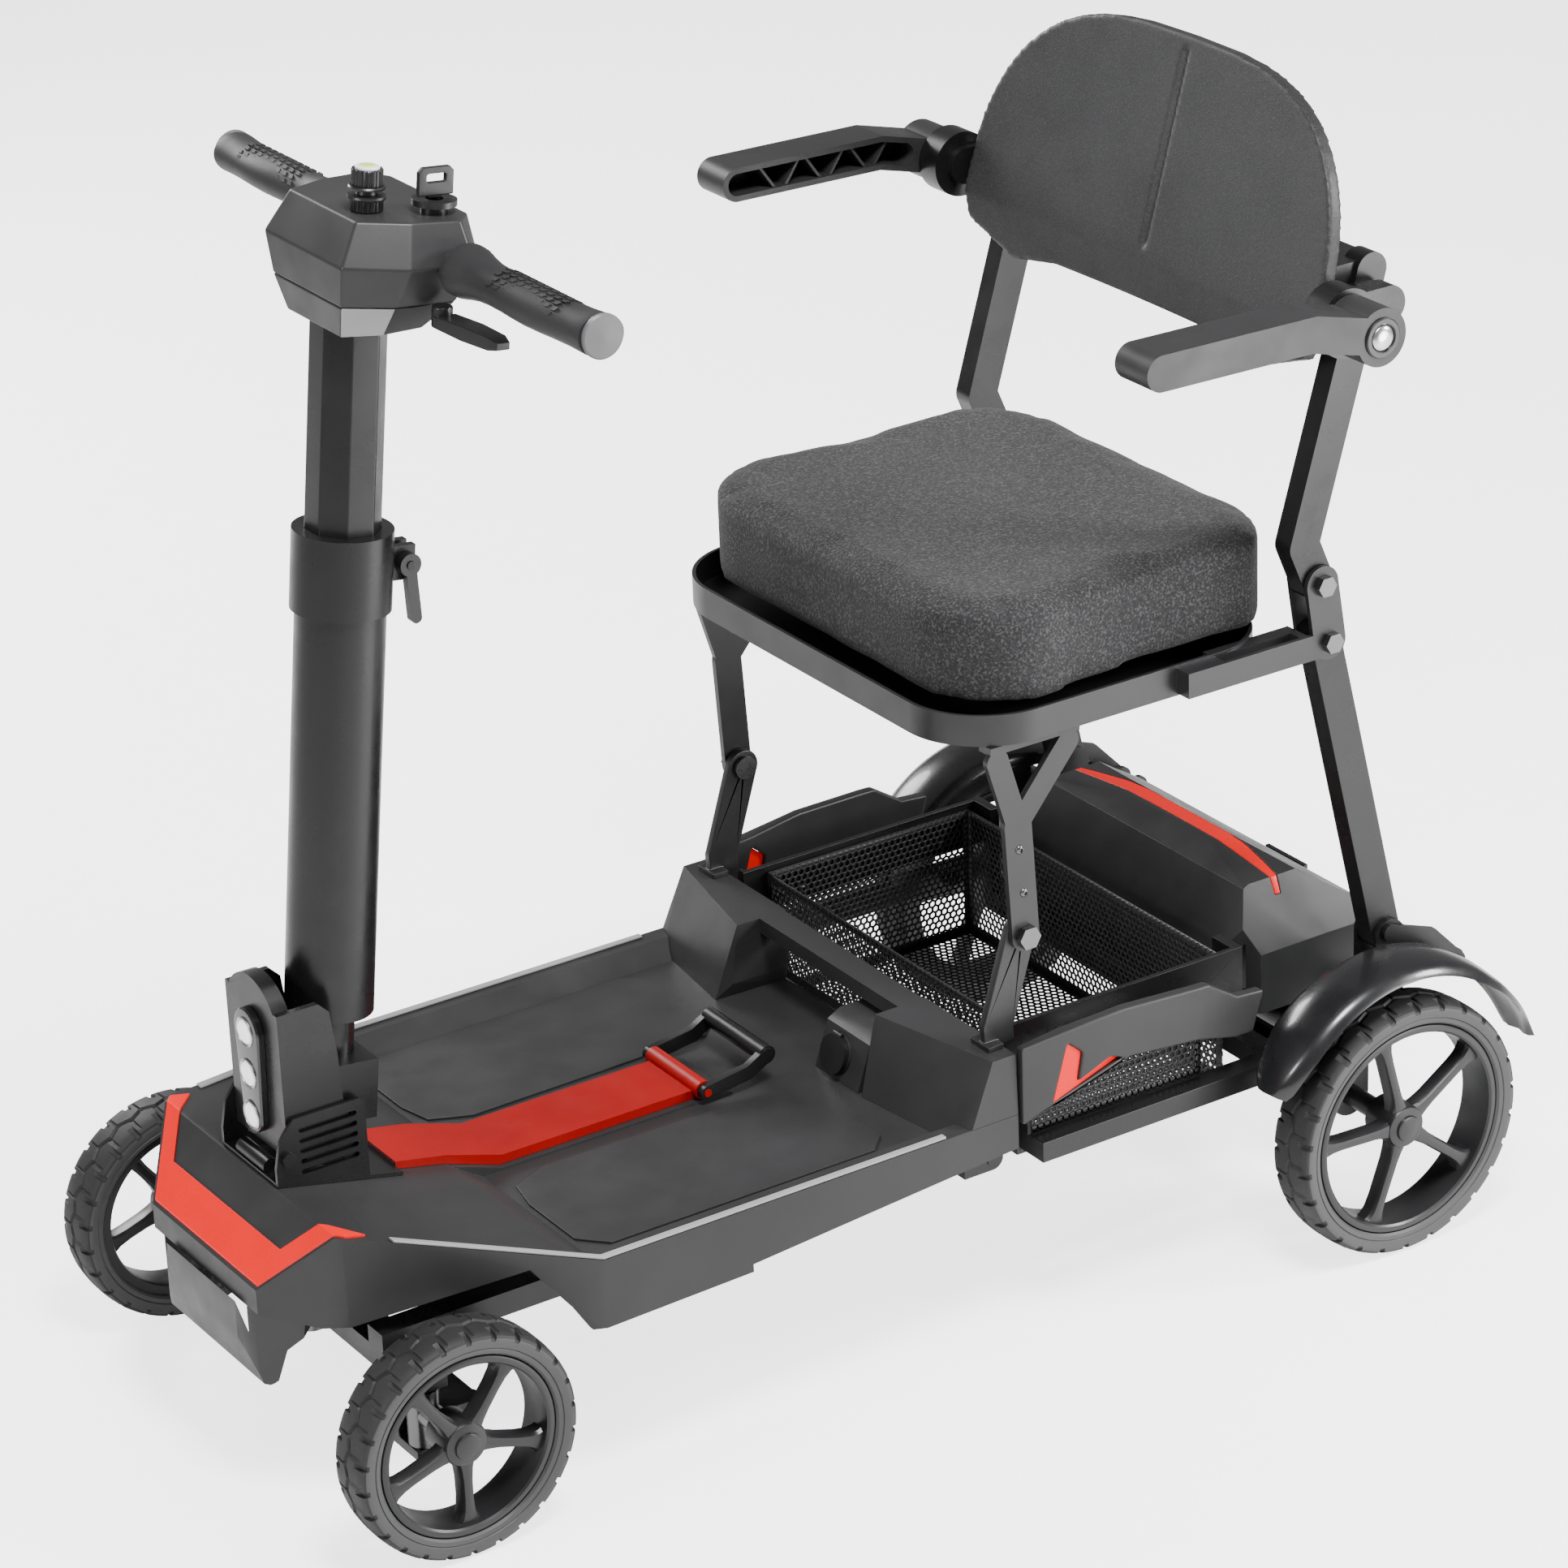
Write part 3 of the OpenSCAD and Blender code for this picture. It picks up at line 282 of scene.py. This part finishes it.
def rod(shape, start, end, radius):
    """A round rod with softened ends between two points."""
    length = (end - start).length / MM
    soft = min(0.8, radius * 0.3)
    profile = [(TIP, 0), (radius - soft, 0), (radius, soft), (radius, length - soft),
               (radius - soft, length), (TIP, length)]
    return shape.turned(profile, start, end - start, 16)


def screw(shape, centre, axis, radius, height=2.4, socket=True):
    """A button-head screw, with a round socket or a plain top."""
    dome = [(radius * math.cos(t), height * math.sin(t)) for t in (0, 0.35, 0.75, 1.1)]
    profile = [(TIP, -0.6), (radius, -0.6)] + dome
    if socket:
        profile += [(radius * 0.42, height * 0.92), (radius * 0.38, height * 0.3), (TIP, height * 0.3)]
    else:
        profile += [(TIP, height)]
    return shape.turned(profile, centre, axis, 24)


# ---------------------------------------------------------------- wheels
def tyre(name, body, centre, radius, half, node):
    """A solid tyre: blocks on the shoulders, cross sipes and a wavy centre groove."""
    blocks = 26
    steps = (0.0, 0.06, 0.08, 0.27, 0.29, 0.40, 0.44, 0.46, 0.50, 0.56, 0.58, 0.77, 0.79, 0.92, 0.96)
    wall = [(-17, -16.5), (-15.5, -18.2), (-12.6, -18.8), (-12, -18.2), (-11.4, -19), (-7, -half + 0.2),
            (-4.2, -half + 0.3), (-2.6, -half + 1.2)]
    crown = [(-1.5, -16.6), (-0.7, -13.2), (-0.4, -9.5), (-0.1, -6), (0, -2.4), (0, -1.2)]
    profile = wall + crown + [(r, -y) for r, y in reversed(crown)] + [(r, -y) for r, y in reversed(wall)]
    rings = []
    for block in range(blocks):
        for step in steps:
            a = 2 * math.pi * (block + step) / blocks
            ring = []
            for i, (drop, y) in enumerate(profile):
                from_edge = min(i, len(profile) - 1 - i)
                shoulder = len(wall) - 2 <= from_edge <= len(wall) + 1
                phase = step if y < 0 else (step + 0.5) % 1
                if shoulder and 0.07 < phase < 0.28:
                    drop -= 2.3
                if abs(y) == 1.2:
                    drop -= 1.7
                if abs(y) < 3:
                    y += 2.6 * (4 * abs(step - 0.5) - 1) * 0.8
                if 3 < abs(y) < 14 and 0.41 < phase < 0.49:
                    drop -= 1.3
                r = radius + drop
                ring.append(centre + Vector((r * math.cos(a), y, r * math.sin(a))) * MM)
            rings.append(ring)
    shape = Shape()
    count = len(profile)
    kinds = [1 if k < 6 or k > count - 8 else 0 for k in range(count)]
    shape.loft(rings, kinds * len(rings), loop=True)
    return shape.piece(name, [TREAD, WALL], body, "tyre", [node], angle=30)


def rim(centre, radius, side, phase):
    """Barrel, hub with its cap, and five spokes that widen into the barrel."""
    shape = Shape()
    barrel = [(-17.2, -14), (-17.2, 15), (-18.2, 16.8), (-20, 17.6), (-22.4, 17.4), (-23.8, 16), (-24.6, 11),
              (-25, -12), (-24, -14)]
    shape.turned([(radius + r, side * y) for r, y in barrel], centre, segments=96)
    hub = [(TIP, 17.2), (8, 17.2), (9.6, 16.4), (10.2, 14.6), (12, 14.2), (15.4, 13.2), (16.6, 11), (17, -6),
           (16, -15), (TIP, -15)]
    shape.turned([(r, side * y) for r, y in hub], centre)
    section = ((-1, 0.5), (-1, 9.5), (-0.72, 12), (-0.3, 12.6), (0.3, 12.6), (0.72, 12), (1, 9.5),
               (1, 0.5), (0.5, -1), (-0.5, -1))
    for k in range(5):
        a = math.radians(phase + 72 * k)
        out, across = Vector((math.cos(a), 0, math.sin(a))), Vector((-math.sin(a), 0, math.cos(a)))
        rings = []
        for reach, wide in ((13, 7.4), (20, 5.6), (28, 4.6), (radius - 42, 4.4), (radius - 33, 5.2),
                            (radius - 27, 7.4), (radius - 24, 10.5)):
            ring = []
            for w, y in section:
                ring.append(centre + (out * reach + across * wide * w + Vector((0, side * y, 0))) * MM)
            rings.append(ring)
        shape.loft(rings)
    return shape


def wheels():
    for side, word in SIDES:
        for end, phase in (("rear", 3), ("front", 54)):
            node = f"{end}_tyre_{word}"
            centre, span = middle(node), size(node)
            body = f"{end}_wheel_{word}"
            tyre(f"{end}_tread_{word}", body, centre, span.x / 2, span.y / 2, node)
            shape = rim(centre, span.x / 2, side, phase)
            if end == "rear":
                rod(shape, Vector((centre.x, side * 0.152, centre.z)), centre, 8)
            shape.piece(f"{end}_spokes_{word}", [RIM], body, "rim_plastic", [f"{end}_rim_{word}"], angle=30)


# ---------------------------------------------------------------- seat
def copy_of(node, name):
    obj = nodes[node].copy()
    obj.data = obj.data.copy()
    obj.name = name
    obj.parent = None
    obj.matrix_world = Matrix.Identity(4)
    obj.modifiers.clear()
    for key in list(obj.keys()):
        del obj[key]
    obj.data.materials.clear()
    bpy.context.scene.collection.objects.link(obj)
    return obj


def apply_all(obj):
    deps = bpy.context.evaluated_depsgraph_get()
    made = bpy.data.meshes.new_from_object(obj.evaluated_get(deps))
    old = obj.data
    obj.modifiers.clear()
    obj.data = made
    bpy.data.meshes.remove(old)


def remesh(obj, voxel):
    modifier = obj.modifiers.new("voxels", "REMESH")
    modifier.mode = "VOXEL"
    modifier.voxel_size = voxel * MM
    apply_all(obj)


def cushion():
    """The seat pad: its solid drawn in, rounded, inflated by cloth simulation and smoothed."""
    pad = copy_of("seat_cushion", "seat_pad")
    low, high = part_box("seat_cushion")
    centre = (low + high) / 2
    for vert in pad.data.vertices:
        vert.co = Vector((centre.x + (vert.co.x - centre.x) * 0.975,
                          centre.y + (vert.co.y - centre.y) * 0.975,
                          low.z + 0.001 + (vert.co.z - low.z) * 0.93))
    weld(pad)
    bevelled(pad, 17, 5, 50)
    apply_all(pad)
    remesh(pad, 5.5)
    inflate(pad, low.z)
    crown(pad, low, high)
    pad.data.shade_smooth()
    smooth = pad.modifiers.new("smooth", "SUBSURF")
    smooth.levels = smooth.render_levels = 1
    pad.data.materials.append(FABRIC)
    settle(pad, "seat", ["seat_cushion"])


def inflate(pad, floor):
    start = [v.co.copy() for v in pad.data.vertices]
    cloth = pad.modifiers.new("cloth", "CLOTH")
    cloth.settings.use_pressure = True
    cloth.settings.uniform_pressure_force = 4
    cloth.settings.effector_weights.gravity = 0
    scene = bpy.context.scene
    for number in range(1, 21):
        scene.frame_set(number)
    apply_all(pad)
    most = 6 * MM
    for vert, rest in zip(pad.data.vertices, start):
        move = vert.co - rest
        if move.length > most:
            move *= most / move.length
        vert.co = rest + move
        vert.co.z = max(vert.co.z, floor + 0.3 * MM)
    scene.frame_set(1)


def crown(pad, low, high):
    """A low dome on the top, a shallow hollow where the rider sits, and sides kept inside the CAD solid."""
    centre, half = (low + high) / 2, (high - low) / 2
    for vert in pad.data.vertices:
        u, v = (vert.co.x - centre.x) / half.x, (vert.co.y - centre.y) / half.y
        top = max(0, (vert.co.z - low.z) / (high.z - low.z)) ** 3
        dome = (1 - u * u) * (1 - v * v)
        vert.co.z += top * (3.2 * dome - 2.6 * math.exp(-((u + 0.1) ** 2 + v * v) * 3.2)) * MM
        vert.co.x = min(max(vert.co.x, low.x + 0.4 * MM), high.x - 0.4 * MM)
        vert.co.y = min(max(vert.co.y, low.y + 0.4 * MM), high.y - 0.4 * MM)
        vert.co.z = min(vert.co.z, high.z + 2 * MM)


def backrest():
    """The padded back panel: wrapped round the rider, with its groove and a soft bend near the foot."""
    panel = copy_of("backrest_shell", "back_panel")
    low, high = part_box("backrest_shell")
    weld(panel)
    bevelled(panel, 3.4, 3, 45)
    apply_all(panel)
    remesh(panel, 2.1)
    relax = panel.modifiers.new("relax", "SMOOTH")
    relax.factor, relax.iterations = 0.5, 3
    apply_all(panel)
    half, tall = (high.y - low.y) / 2, high.z - low.z
    for vert in panel.data.vertices:
        side, up = vert.co.y / half, (vert.co.z - low.z) / tall
        wrap = 9 * side * side - 5
        foot = -34 * max(0, 0.2 - up)
        vert.co.x += (wrap + foot) * MM
    panel.data.shade_smooth()
    panel.data.materials.append(PANEL)
    settle(panel, "backrest", ["backrest_shell"])


# ---------------------------------------------------------------- basket
def hex_net(shape, corner, along, up, wide, tall, cell=5.6):
    """A sheet of open hexagons, from corner to wide by tall millimetres."""
    radius = cell / math.sqrt(3)
    cols, rows = int(wide / cell), int(tall / (1.5 * radius))
    shift_u, shift_v = (wide - (cols - 0.5) * cell) / 2, (tall - (rows - 1) * 1.5 * radius) / 2
    for row in range(rows):
        for col in range(cols - row % 2):
            u = shift_u + (col + 0.5 * (row % 2)) * cell
            v = shift_v + row * 1.5 * radius
            ring = []
            for reach in (radius, radius * 0.7):
                for k in range(6):
                    a = math.pi / 6 + k * math.pi / 3
                    ring.append((u + reach * math.cos(a), v + reach * math.sin(a)))
            verts = [corner + (along * p + up * q) * MM for p, q in ring]
            shape.add(verts, [(k, (k + 1) % 6, 6 + (k + 1) % 6, 6 + k) for k in range(6)])


def frame_strip(shape, corner, along, up, wide, tall, band):
    """A flat border of the given width round a rectangle."""
    outer = [(0, 0), (wide, 0), (wide, tall), (0, tall)]
    inner = [(band, band), (wide - band, band), (wide - band, tall - band), (band, tall - band)]
    verts = [corner + (along * p + up * q) * MM for p, q in outer + inner]
    shape.add(verts, [(k, (k + 1) % 4, 4 + (k + 1) % 4, 4 + k) for k in range(4)])


def basket():
    """The shopping basket under the seat, in open net with taped edges, and the net panels at the sides."""
    x0, x1 = 85, 271
    z0, z1, half = 119, 223, 160.7
    forward, left, up = Vector((1, 0, 0)), Vector((0, 1, 0)), Vector((0, 0, 1))
    shape = Shape()
    walls = [(at(x0, s * half, z0), forward, up, x1 - x0, z1 - z0) for s in (1, -1)]
    walls += [(at(x, -half, z0), left, up, 2 * half, z1 - z0) for x in (x0, x1)]
    walls += [(at(x0, -half, z0), forward, left, x1 - x0, 2 * half)]
    walls += [(at(134, s * 198.2, 157), forward, up, 154, 42) for s in (1, -1)]
    for corner, along, across, wide, tall in walls:
        hex_net(shape, corner, along, across, wide, tall)
        frame_strip(shape, corner, along, across, wide, tall, 5)
    net = shape.piece("basket_net", [NET], "rear_half", "mesh", ["cargo_basket"])
    thick = net.modifiers.new("thick", "SOLIDIFY")
    thick.thickness, thick.offset = 0.9 * MM, 0


# ---------------------------------------------------------------- fenders
def fender(shape, side):
    """A pressed mudguard: round in front, thin at the tail, with an inner skirt towards the frame."""
    y1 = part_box("fenders")[1].y / MM
    y0 = y1 - 56
    centre_z, radius = REAR_AXLE.z / MM, 126
    steps = 44
    rings = []
    for i in range(steps + 1):
        t = i / steps
        a = math.radians(26 + 140 * t)
        rise = radius + 3 * math.sin(math.pi * t) + 6 * max(0, t - 0.75) * 4
        nose = min(1, t * 7) ** 0.5
        tail = min(1, (1 - t) * 3.2) ** 0.6
        skirt = (30 * (1 - t) ** 1.4 + 6) * tail
        lip = 9 * tail
        wide = (y1 - y0) * (0.55 + 0.45 * nose) * (0.62 + 0.38 * tail)
        mid = (y0 + y1) / 2
        ya, yb = mid - wide / 2, mid + wide / 2
        outline = [(ya, rise - skirt), (ya - 0.4, rise - skirt * 0.45), (ya + 2, rise - 5 * tail),
                   (ya + 8, rise - 0.8), (mid, rise + 1.2), (yb - 10, rise - 0.6),
                   (yb - 3, rise - 3.4 * tail), (yb, rise - lip)]
        inside = [(y + (1.6 if k < 3 else -1.6 if k > 5 else 0), r - (0 if k in (0, 7) else 2.4))
                  for k, (y, r) in enumerate(outline)]
        ring = outline + list(reversed(inside))
        direction = (math.cos(a), math.sin(a))
        rings.append([at(direction[0] * r, side * y, centre_z + direction[1] * r) for y, r in ring])
    shape.loft(rings)
    for x in (10, -14):
        rod(shape, at(x, side * 214.4, 166), at(x, side * 222, 190), 5)
    shape.slab([(-18, 152), (18, 152), (14, 214), (-14, 214)], side * 214.5, side * 221)


def fenders():
    shape = Shape()
    for side in (1, -1):
        fender(shape, side)
    shape.piece("mudguards", [GLOSS_SOFT], "rear_half", "black_plastic", ["fenders"], angle=45)


# ---------------------------------------------------------------- tiller head
BAR_X, BAR_LEVEL = -40, 540
KEY_X, KEY_Y = -38, 40
RIB_RADIUS = 15.2
RIB_CORNERS = ((-0.1, -3.2), (0.1, -1.4), (0.1, 3.2), (-0.1, 1.4))
HEAD_LEVELS = (
    (490, ((26, 36), (-2, 42), (-34, 36), (-42, 20))),
    (513, ((32, 46), (0, 60), (-44, 60), (-60, 40))),
    (541, ((36, 52), (-3, 73), (-50, 75), (-67, 48))),
    (569, ((22, 44), (-10, 60), (-43, 66), (-57, 50))),
)


def grips():
    """Moulded grips: a collar at the head, a palm swell, ribbed panels and a pale end cap."""
    for side, word in SIDES:
        shape = Shape()
        stations = [(78, 18.2, 1), (80, 19, 1), (86, 18.8, 1), (96, 16.6, 1), (108, 14.6, 1),
                    (122, 13.8, 1.02), (140, 13.8, 1.08), (156, 14.2, 1.14), (172, 14.4, 1.18),
                    (188, 14.0, 1.18), (204, 13.6, 1.16), (220, 13.8, 1.14), (232, 14.4, 1.12),
                    (238, 14.8, 1.1), (240.5, 14.6, 1.1)]
        rings = []
        for y, r, stretch in stations:
            ring = []
            for k in range(32):
                a = 2 * math.pi * k / 32
                rise = r * (1 + 0.05 * math.cos(2 * a))
                back = 3.2 * max(0, (y - 200) / 44)
                ring.append(in_column(BAR_X + rise * stretch * math.cos(a) - back, side * y,
                                      BAR_LEVEL + rise * math.sin(a)))
            rings.append(ring)
        shape.loft(rings)
        for row in range(7):
            for col in range(9):
                y = 132 + 9 * col + 3 * (row % 2)
                a = math.radians(28 + 17 * row)
                spot = [in_column(BAR_X + (RIB_RADIUS + lift) * 1.06 * math.cos(a + da), side * (y + dy),
                                  BAR_LEVEL + (RIB_RADIUS + lift - 0.9) * math.sin(a + da))
                        for lift in (-2, 0) for da, dy in RIB_CORNERS]
                shape.loft([spot[:4], spot[4:]])
        cap = [(TIP, -1), (14.2, -1), (15, 0.5), (15, 2.4), (14, 3.4), (TIP, 4)]
        shape.turned(cap, in_column(BAR_X - 3, side * 240.5, BAR_LEVEL), (0, side, 0), 32, 1)
        replaced = ["grips"] if side == 1 else []
        shape.piece(f"grip_{word}", [GRIP, CAP], "head", "grip_rubber", replaced, angle=40)


def head():
    """The tiller head as clean facets, with a pale panel at its lower left front, its key and its paddle."""
    rings = []
    for level, corners in HEAD_LEVELS:
        ring = [in_column(x, y, level) for x, y in corners]
        ring += [in_column(x, -y, level) for x, y in reversed(corners)]
        rings.append(ring)
    case, foot = Shape().loft(rings[1:]), Shape().loft(rings[:2], [1] + [0] * 9)
    case.piece("head_case", [SHELL], "head", "shell_plastic", ["head_shell"], bevel=1.6, angle=8)
    foot.piece("head_foot", [SHELL, HIGHLIGHT_AND_PANEL_GREY], "head", "shell_plastic", ["head_insert"], bevel=1.4, angle=8)
    key = Shape()
    outline = ((-13, 580), (13, 580), (13, 596), (10, 599), (-10, 599), (-13, 596))
    slot = ((-7, 589), (7, 589), (7, 594), (5, 594.6), (-5, 594.6), (-7, 594))
    rings = [[in_column(KEY_X + x, KEY_Y + y, level) for x, level in ring]
             for y, ring in ((-2, outline), (2, outline), (2, slot), (-2, slot))]
    key.loft(rings, loop=True)
    blade = ((-5, -1.2), (5, -1.2), (5, 1.2), (-5, 1.2))
    key.loft([[in_column(KEY_X + x, KEY_Y + y, level) for x, y in blade] for level in (578.4, 582)])
    key.piece("key", [BLACK], "ignition_key", "steel", ["ignition_key"], bevel=0.6)
    paddle = Shape()
    paddle.turned([(TIP, 501), (6, 501), (7, 502), (7, 515), (6, 516), (TIP, 516)], in_column(-28, 72, 0),
                  in_column(0, 0, 1) - in_column(0, 0, 0), 32)
    rings = []
    for y, x0, x1, low, high in ((74, -37, -20, 502, 510), (104, -40, -23, 501, 511),
                                 (132, -40, -26, 502, 511), (141, -38, -28, 504, 509)):
        rings.append([in_column(x, y, level) for x, level in ((x0, low), (x1, low), (x1, high), (x0, high))])
    paddle.loft(rings)
    paddle.piece("paddle", [BLACK], "throttle_paddle", "black_plastic", ["throttle_paddle"], bevel=1.2)


def dial():
    """The speed dial: a ribbed foot, a waist between two flanges, a ribbed knob and a pale top."""
    x, y, foot = 2, 22, 569.4
    axis = Vector((-math.sin(LEAN), 0, math.cos(LEAN)))
    shape = Shape()
    base = in_column(x, y, foot)
    shape.turned([(TIP, 8), (12.6, 8), (13, 9), (12.6, 10.4), (7, 11), (6.6, 14), (12, 14.6), (12.4, 15.8),
                  (11.6, 16.8), (TIP, 17)], base, axis, 40)
    for low, high, r in ((0, 8.4, 11), (16.6, 28, 10.6)):
        rings = []
        for h, drop in ((low, 0.5), (low + 0.8, 0), (high - 0.8, 0), (high, 0.6)):
            ring = []
            for k in range(80):
                turn = 2 * math.pi * k / 80
                flute = 0.8 if k % 4 < 2 else 0
                reach = r - flute - drop
                ring.append(in_column(x + reach * math.cos(turn), y + reach * math.sin(turn), foot + h))
            rings.append(ring)
        shape.loft(rings)
    ring_profile = [(TIP, 27.5), (8.2, 27.5), (8.2, 29), (7.4, 29.6), (5.6, 29.7), (TIP, 29.7)]
    shape.turned(ring_profile, base, axis, 40, 1)
    shape.turned([(TIP, 29), (5.2, 29), (4.8, 30.1), (TIP, 30.3)], base, axis, 40, 2)
    shape.piece("dial_knob", [BLACK, WHITE, DIAL], "speed_dial", "black_plastic", ["speed_dial"], angle=25)


LAMP_LEVELS = (254, 286, 318)


def lamps():
    """The lamp plate: three clear domes in bright rings."""
    back_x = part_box("headlight")[0].x
    lowest, highest = LAMP_LEVELS[0], LAMP_LEVELS[-1]
    shape = Shape()
    outline = []
    for level, radius, start in ((highest, 17, 0), (lowest, 13, math.pi)):
        for k in range(25):
            a = start + math.pi * k / 24
            outline.append((radius * math.cos(a), level + radius * math.sin(a)))
    rings = []
    for depth, grow in ((0, 0), (4.2, 0), (5.6, -1.0), (5.8, -2.4)):
        ring = []
        for y, z in outline:
            mid = min(max(z, lowest), highest)
            length = math.hypot(y, z - mid)
            scale = (length + grow) / length
            ring.append(Vector((back_x + depth * MM, y * scale * MM, (mid + (z - mid) * scale) * MM)))
        rings.append(ring)
    shape.loft(rings)
    for z in LAMP_LEVELS:
        base = Vector((back_x + 5 * MM, 0, z * MM))
        shape.turned([(9, 0), (11, 0), (11, 1.6), (10.2, 2.2), (9, 1.2)], base, (1, 0, 0), 40, 1)
        shape.turned([(TIP, 0), (9, 0), (8.6, 1.6), (7, 3), (4, 3.8), (TIP, 4)], base, (1, 0, 0), 40, 2)
    shape.piece("lamp_plate", [GLOSS, STEEL, LED], "tiller", "lamp_lens", ["headlight"], angle=30)


# ---------------------------------------------------------------- bolts and screws
ARM_X, ARM_Z = 36, 722


def fasteners():
    """Screws and nuts, as groups that ride with the body they hold."""
    rail_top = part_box("rear_housing")[0].z / MM
    for side, word in SIDES:
        out = (0, side, 0)
        shape = Shape()
        screw(shape, at(ARM_X, side * 276.5, ARM_Z), out, 9.5, 3.2, socket=False)
        shape.turned([(9.8, -0.5), (14.5, -0.5), (14.5, 1.2), (13.6, 2), (10.6, 2), (9.8, 1.2)],
                     at(ARM_X, side * 276, ARM_Z), out, 40, 1)
        shape.piece(f"armrest_bolt_{word}", [STEEL, BLACK], f"armrest_{word}", "steel")
        shape = Shape()
        for x, z in ((283, 376), (280, 342)):
            screw(shape, at(x, side * 188, z), out, 3.4, 1.8)
        shape.piece(f"bracket_screws_{word}", [BOLT], "seat", "steel")
        shape = Shape()
        for x in (110, 240):
            screw(shape, at(x, side * 162, 200), (0, -side, 0), 4.2)
        screw(shape, at(-62, side * 205, rail_top + 4), (0, 0, 1), 4)
        shape.piece(f"basket_screws_{word}", [BLACK], "rear_half", "black_plastic")


# ---------------------------------------------------------------- stage
def area(name, place, target, width, power):
    lamp = bpy.data.lights.new(name, "AREA")
    lamp.shape, lamp.size, lamp.energy = "DISK", width, power
    obj = bpy.data.objects.new(name, lamp)
    obj.location = place
    obj.rotation_euler = (Vector(target) - Vector(place)).to_track_quat("-Z", "Y").to_euler()
    bpy.context.scene.collection.objects.link(obj)
    return obj


def seen_and_cast(tree, cast, seen, socket):
    """A strength that is one value for the camera's own rays, and another for the light cast on things."""
    path = tree.nodes.new("ShaderNodeLightPath")
    power = tree.nodes.new("ShaderNodeMapRange")
    power.inputs["To Min"].default_value = cast
    power.inputs["To Max"].default_value = seen
    tree.links.new(path.outputs["Is Camera Ray"], power.inputs["Value"])
    tree.links.new(power.outputs["Result"], socket)


def stage():
    """A white room: the background is seen bright, and lights the object more softly than it looks."""
    world = bpy.data.worlds.new("studio")
    world.use_nodes = True
    sky = world.node_tree.nodes["Background"]
    sky.inputs["Color"].default_value = (1, 1, 1, 1)
    seen_and_cast(world.node_tree, 0.28, 9, sky.inputs["Strength"])
    bpy.context.scene.world = world
    area("key", (0.3, 1.2, 3.0), (0, 0, 0.2), 0.9, 130)
    area("rim", (-2.4, 1.6, 1.7), (0, 0, 0.4), 0.8, 95)
    area("front", (2.6, 0.2, 1.6), (0.2, 0, 0.4), 0.6, 30)
    area("low left", (-0.9, 1.3, 0.5), (0, 0, 0.5), 0.7, 16).visible_camera = False
    area("far", (0.2, -2.8, 1.6), (0, 0, 0.4), 1.2, 70)
    mesh = bpy.data.meshes.new("floor")
    reach = 30
    corners = ((-reach, -reach), (reach, -reach), (reach, reach), (-reach, reach))
    mesh.from_pydata([(x, y, 0) for x, y in corners], [], [(0, 1, 2, 3)])
    pale = material("pale_floor", (0.9, 0.9, 0.9), 0.6, (40, 0.01), vary=0.01, Emission_Color=(1, 1, 1, 1))
    shader = pale.node_tree.nodes["Principled BSDF"]
    seen_and_cast(pale.node_tree, 0.1, 2.6, shader.inputs["Emission Strength"])
    mesh.materials.append(pale)
    obj = bpy.data.objects.new("floor", mesh)
    bpy.context.scene.collection.objects.link(obj)


def camera():
    """The photograph's view, as solved from the wheels, the axles and the deck."""
    azimuth, elevation, roll = math.radians(147.5), math.radians(24.53), math.radians(-2.26)
    level = math.cos(elevation)
    back = Vector((math.sin(azimuth) * level, -math.cos(azimuth) * level, math.sin(elevation)))
    data = bpy.data.cameras.new("camera")
    data.lens, data.sensor_width = 121.8, 36
    data.clip_end = 100
    obj = bpy.data.objects.new("camera", data)
    obj.rotation_mode = "QUATERNION"
    obj.rotation_quaternion = (-back).to_track_quat("-Z", "Y") @ Quaternion((0, 0, 1), roll)
    obj.location = (1.8393, 2.9168, 1.9571)
    bpy.context.scene.collection.objects.link(obj)
    bpy.context.scene.camera = obj


# ---------------------------------------------------------------- carried-over nodes
FINISHES = (
    (SHELL, 2.0, ("rear_housing", "side_covers", "deck_shell", "leg_towers", "charge_port")),
    (SHELL, 1.6, ("armrest_left", "armrest_right")),
    (SHELL, 0.4, ("foot_mats",)),
    (COAT, 1.0, ("rear_frame", "rear_axle", "hinge_pin", "leg_catches", "leg_latch", "front_frame",
                 "fold_handle", "front_axle_beam", "lower_column", "upper_column", "rear_legs",
                 "backrest_tubes", "battery_pack")),
    (COAT_GREY, 1.0, ("front_legs", "seat_brackets", "seat_pan")),
    (COAT, 1.4, ("tiller_bracket", "tiller_base", "column_collar")),
    (BLACK, 1.0, ("front_bumper", "charge_cover", "key_switch", "clamp_lever")),
    (LAMP, 0.8, ("rear_lights", "chevron_light")),
    (RED, 1.0, ("fold_strap",)),
    # The deck's edge trim is pale grey as a painted highlight along the deck's near edge.
    (HIGHLIGHT_AND_PANEL_GREY, 0.6, ("edge_trim",)),
    (STEEL, 0.5, ("handlebar",)),
    (BOLT, 0.5, ("pivot_bolts", "pitman_arm", "tie_rod", "knuckle_left", "knuckle_right")),
)

camera()
stage()
for finish, width, names in FINISHES:
    for node in names:
        soften(node, finish, width)
wheels()
cushion()
backrest()
basket()
fenders()
grips()
head()
dial()
lamps()
fasteners()
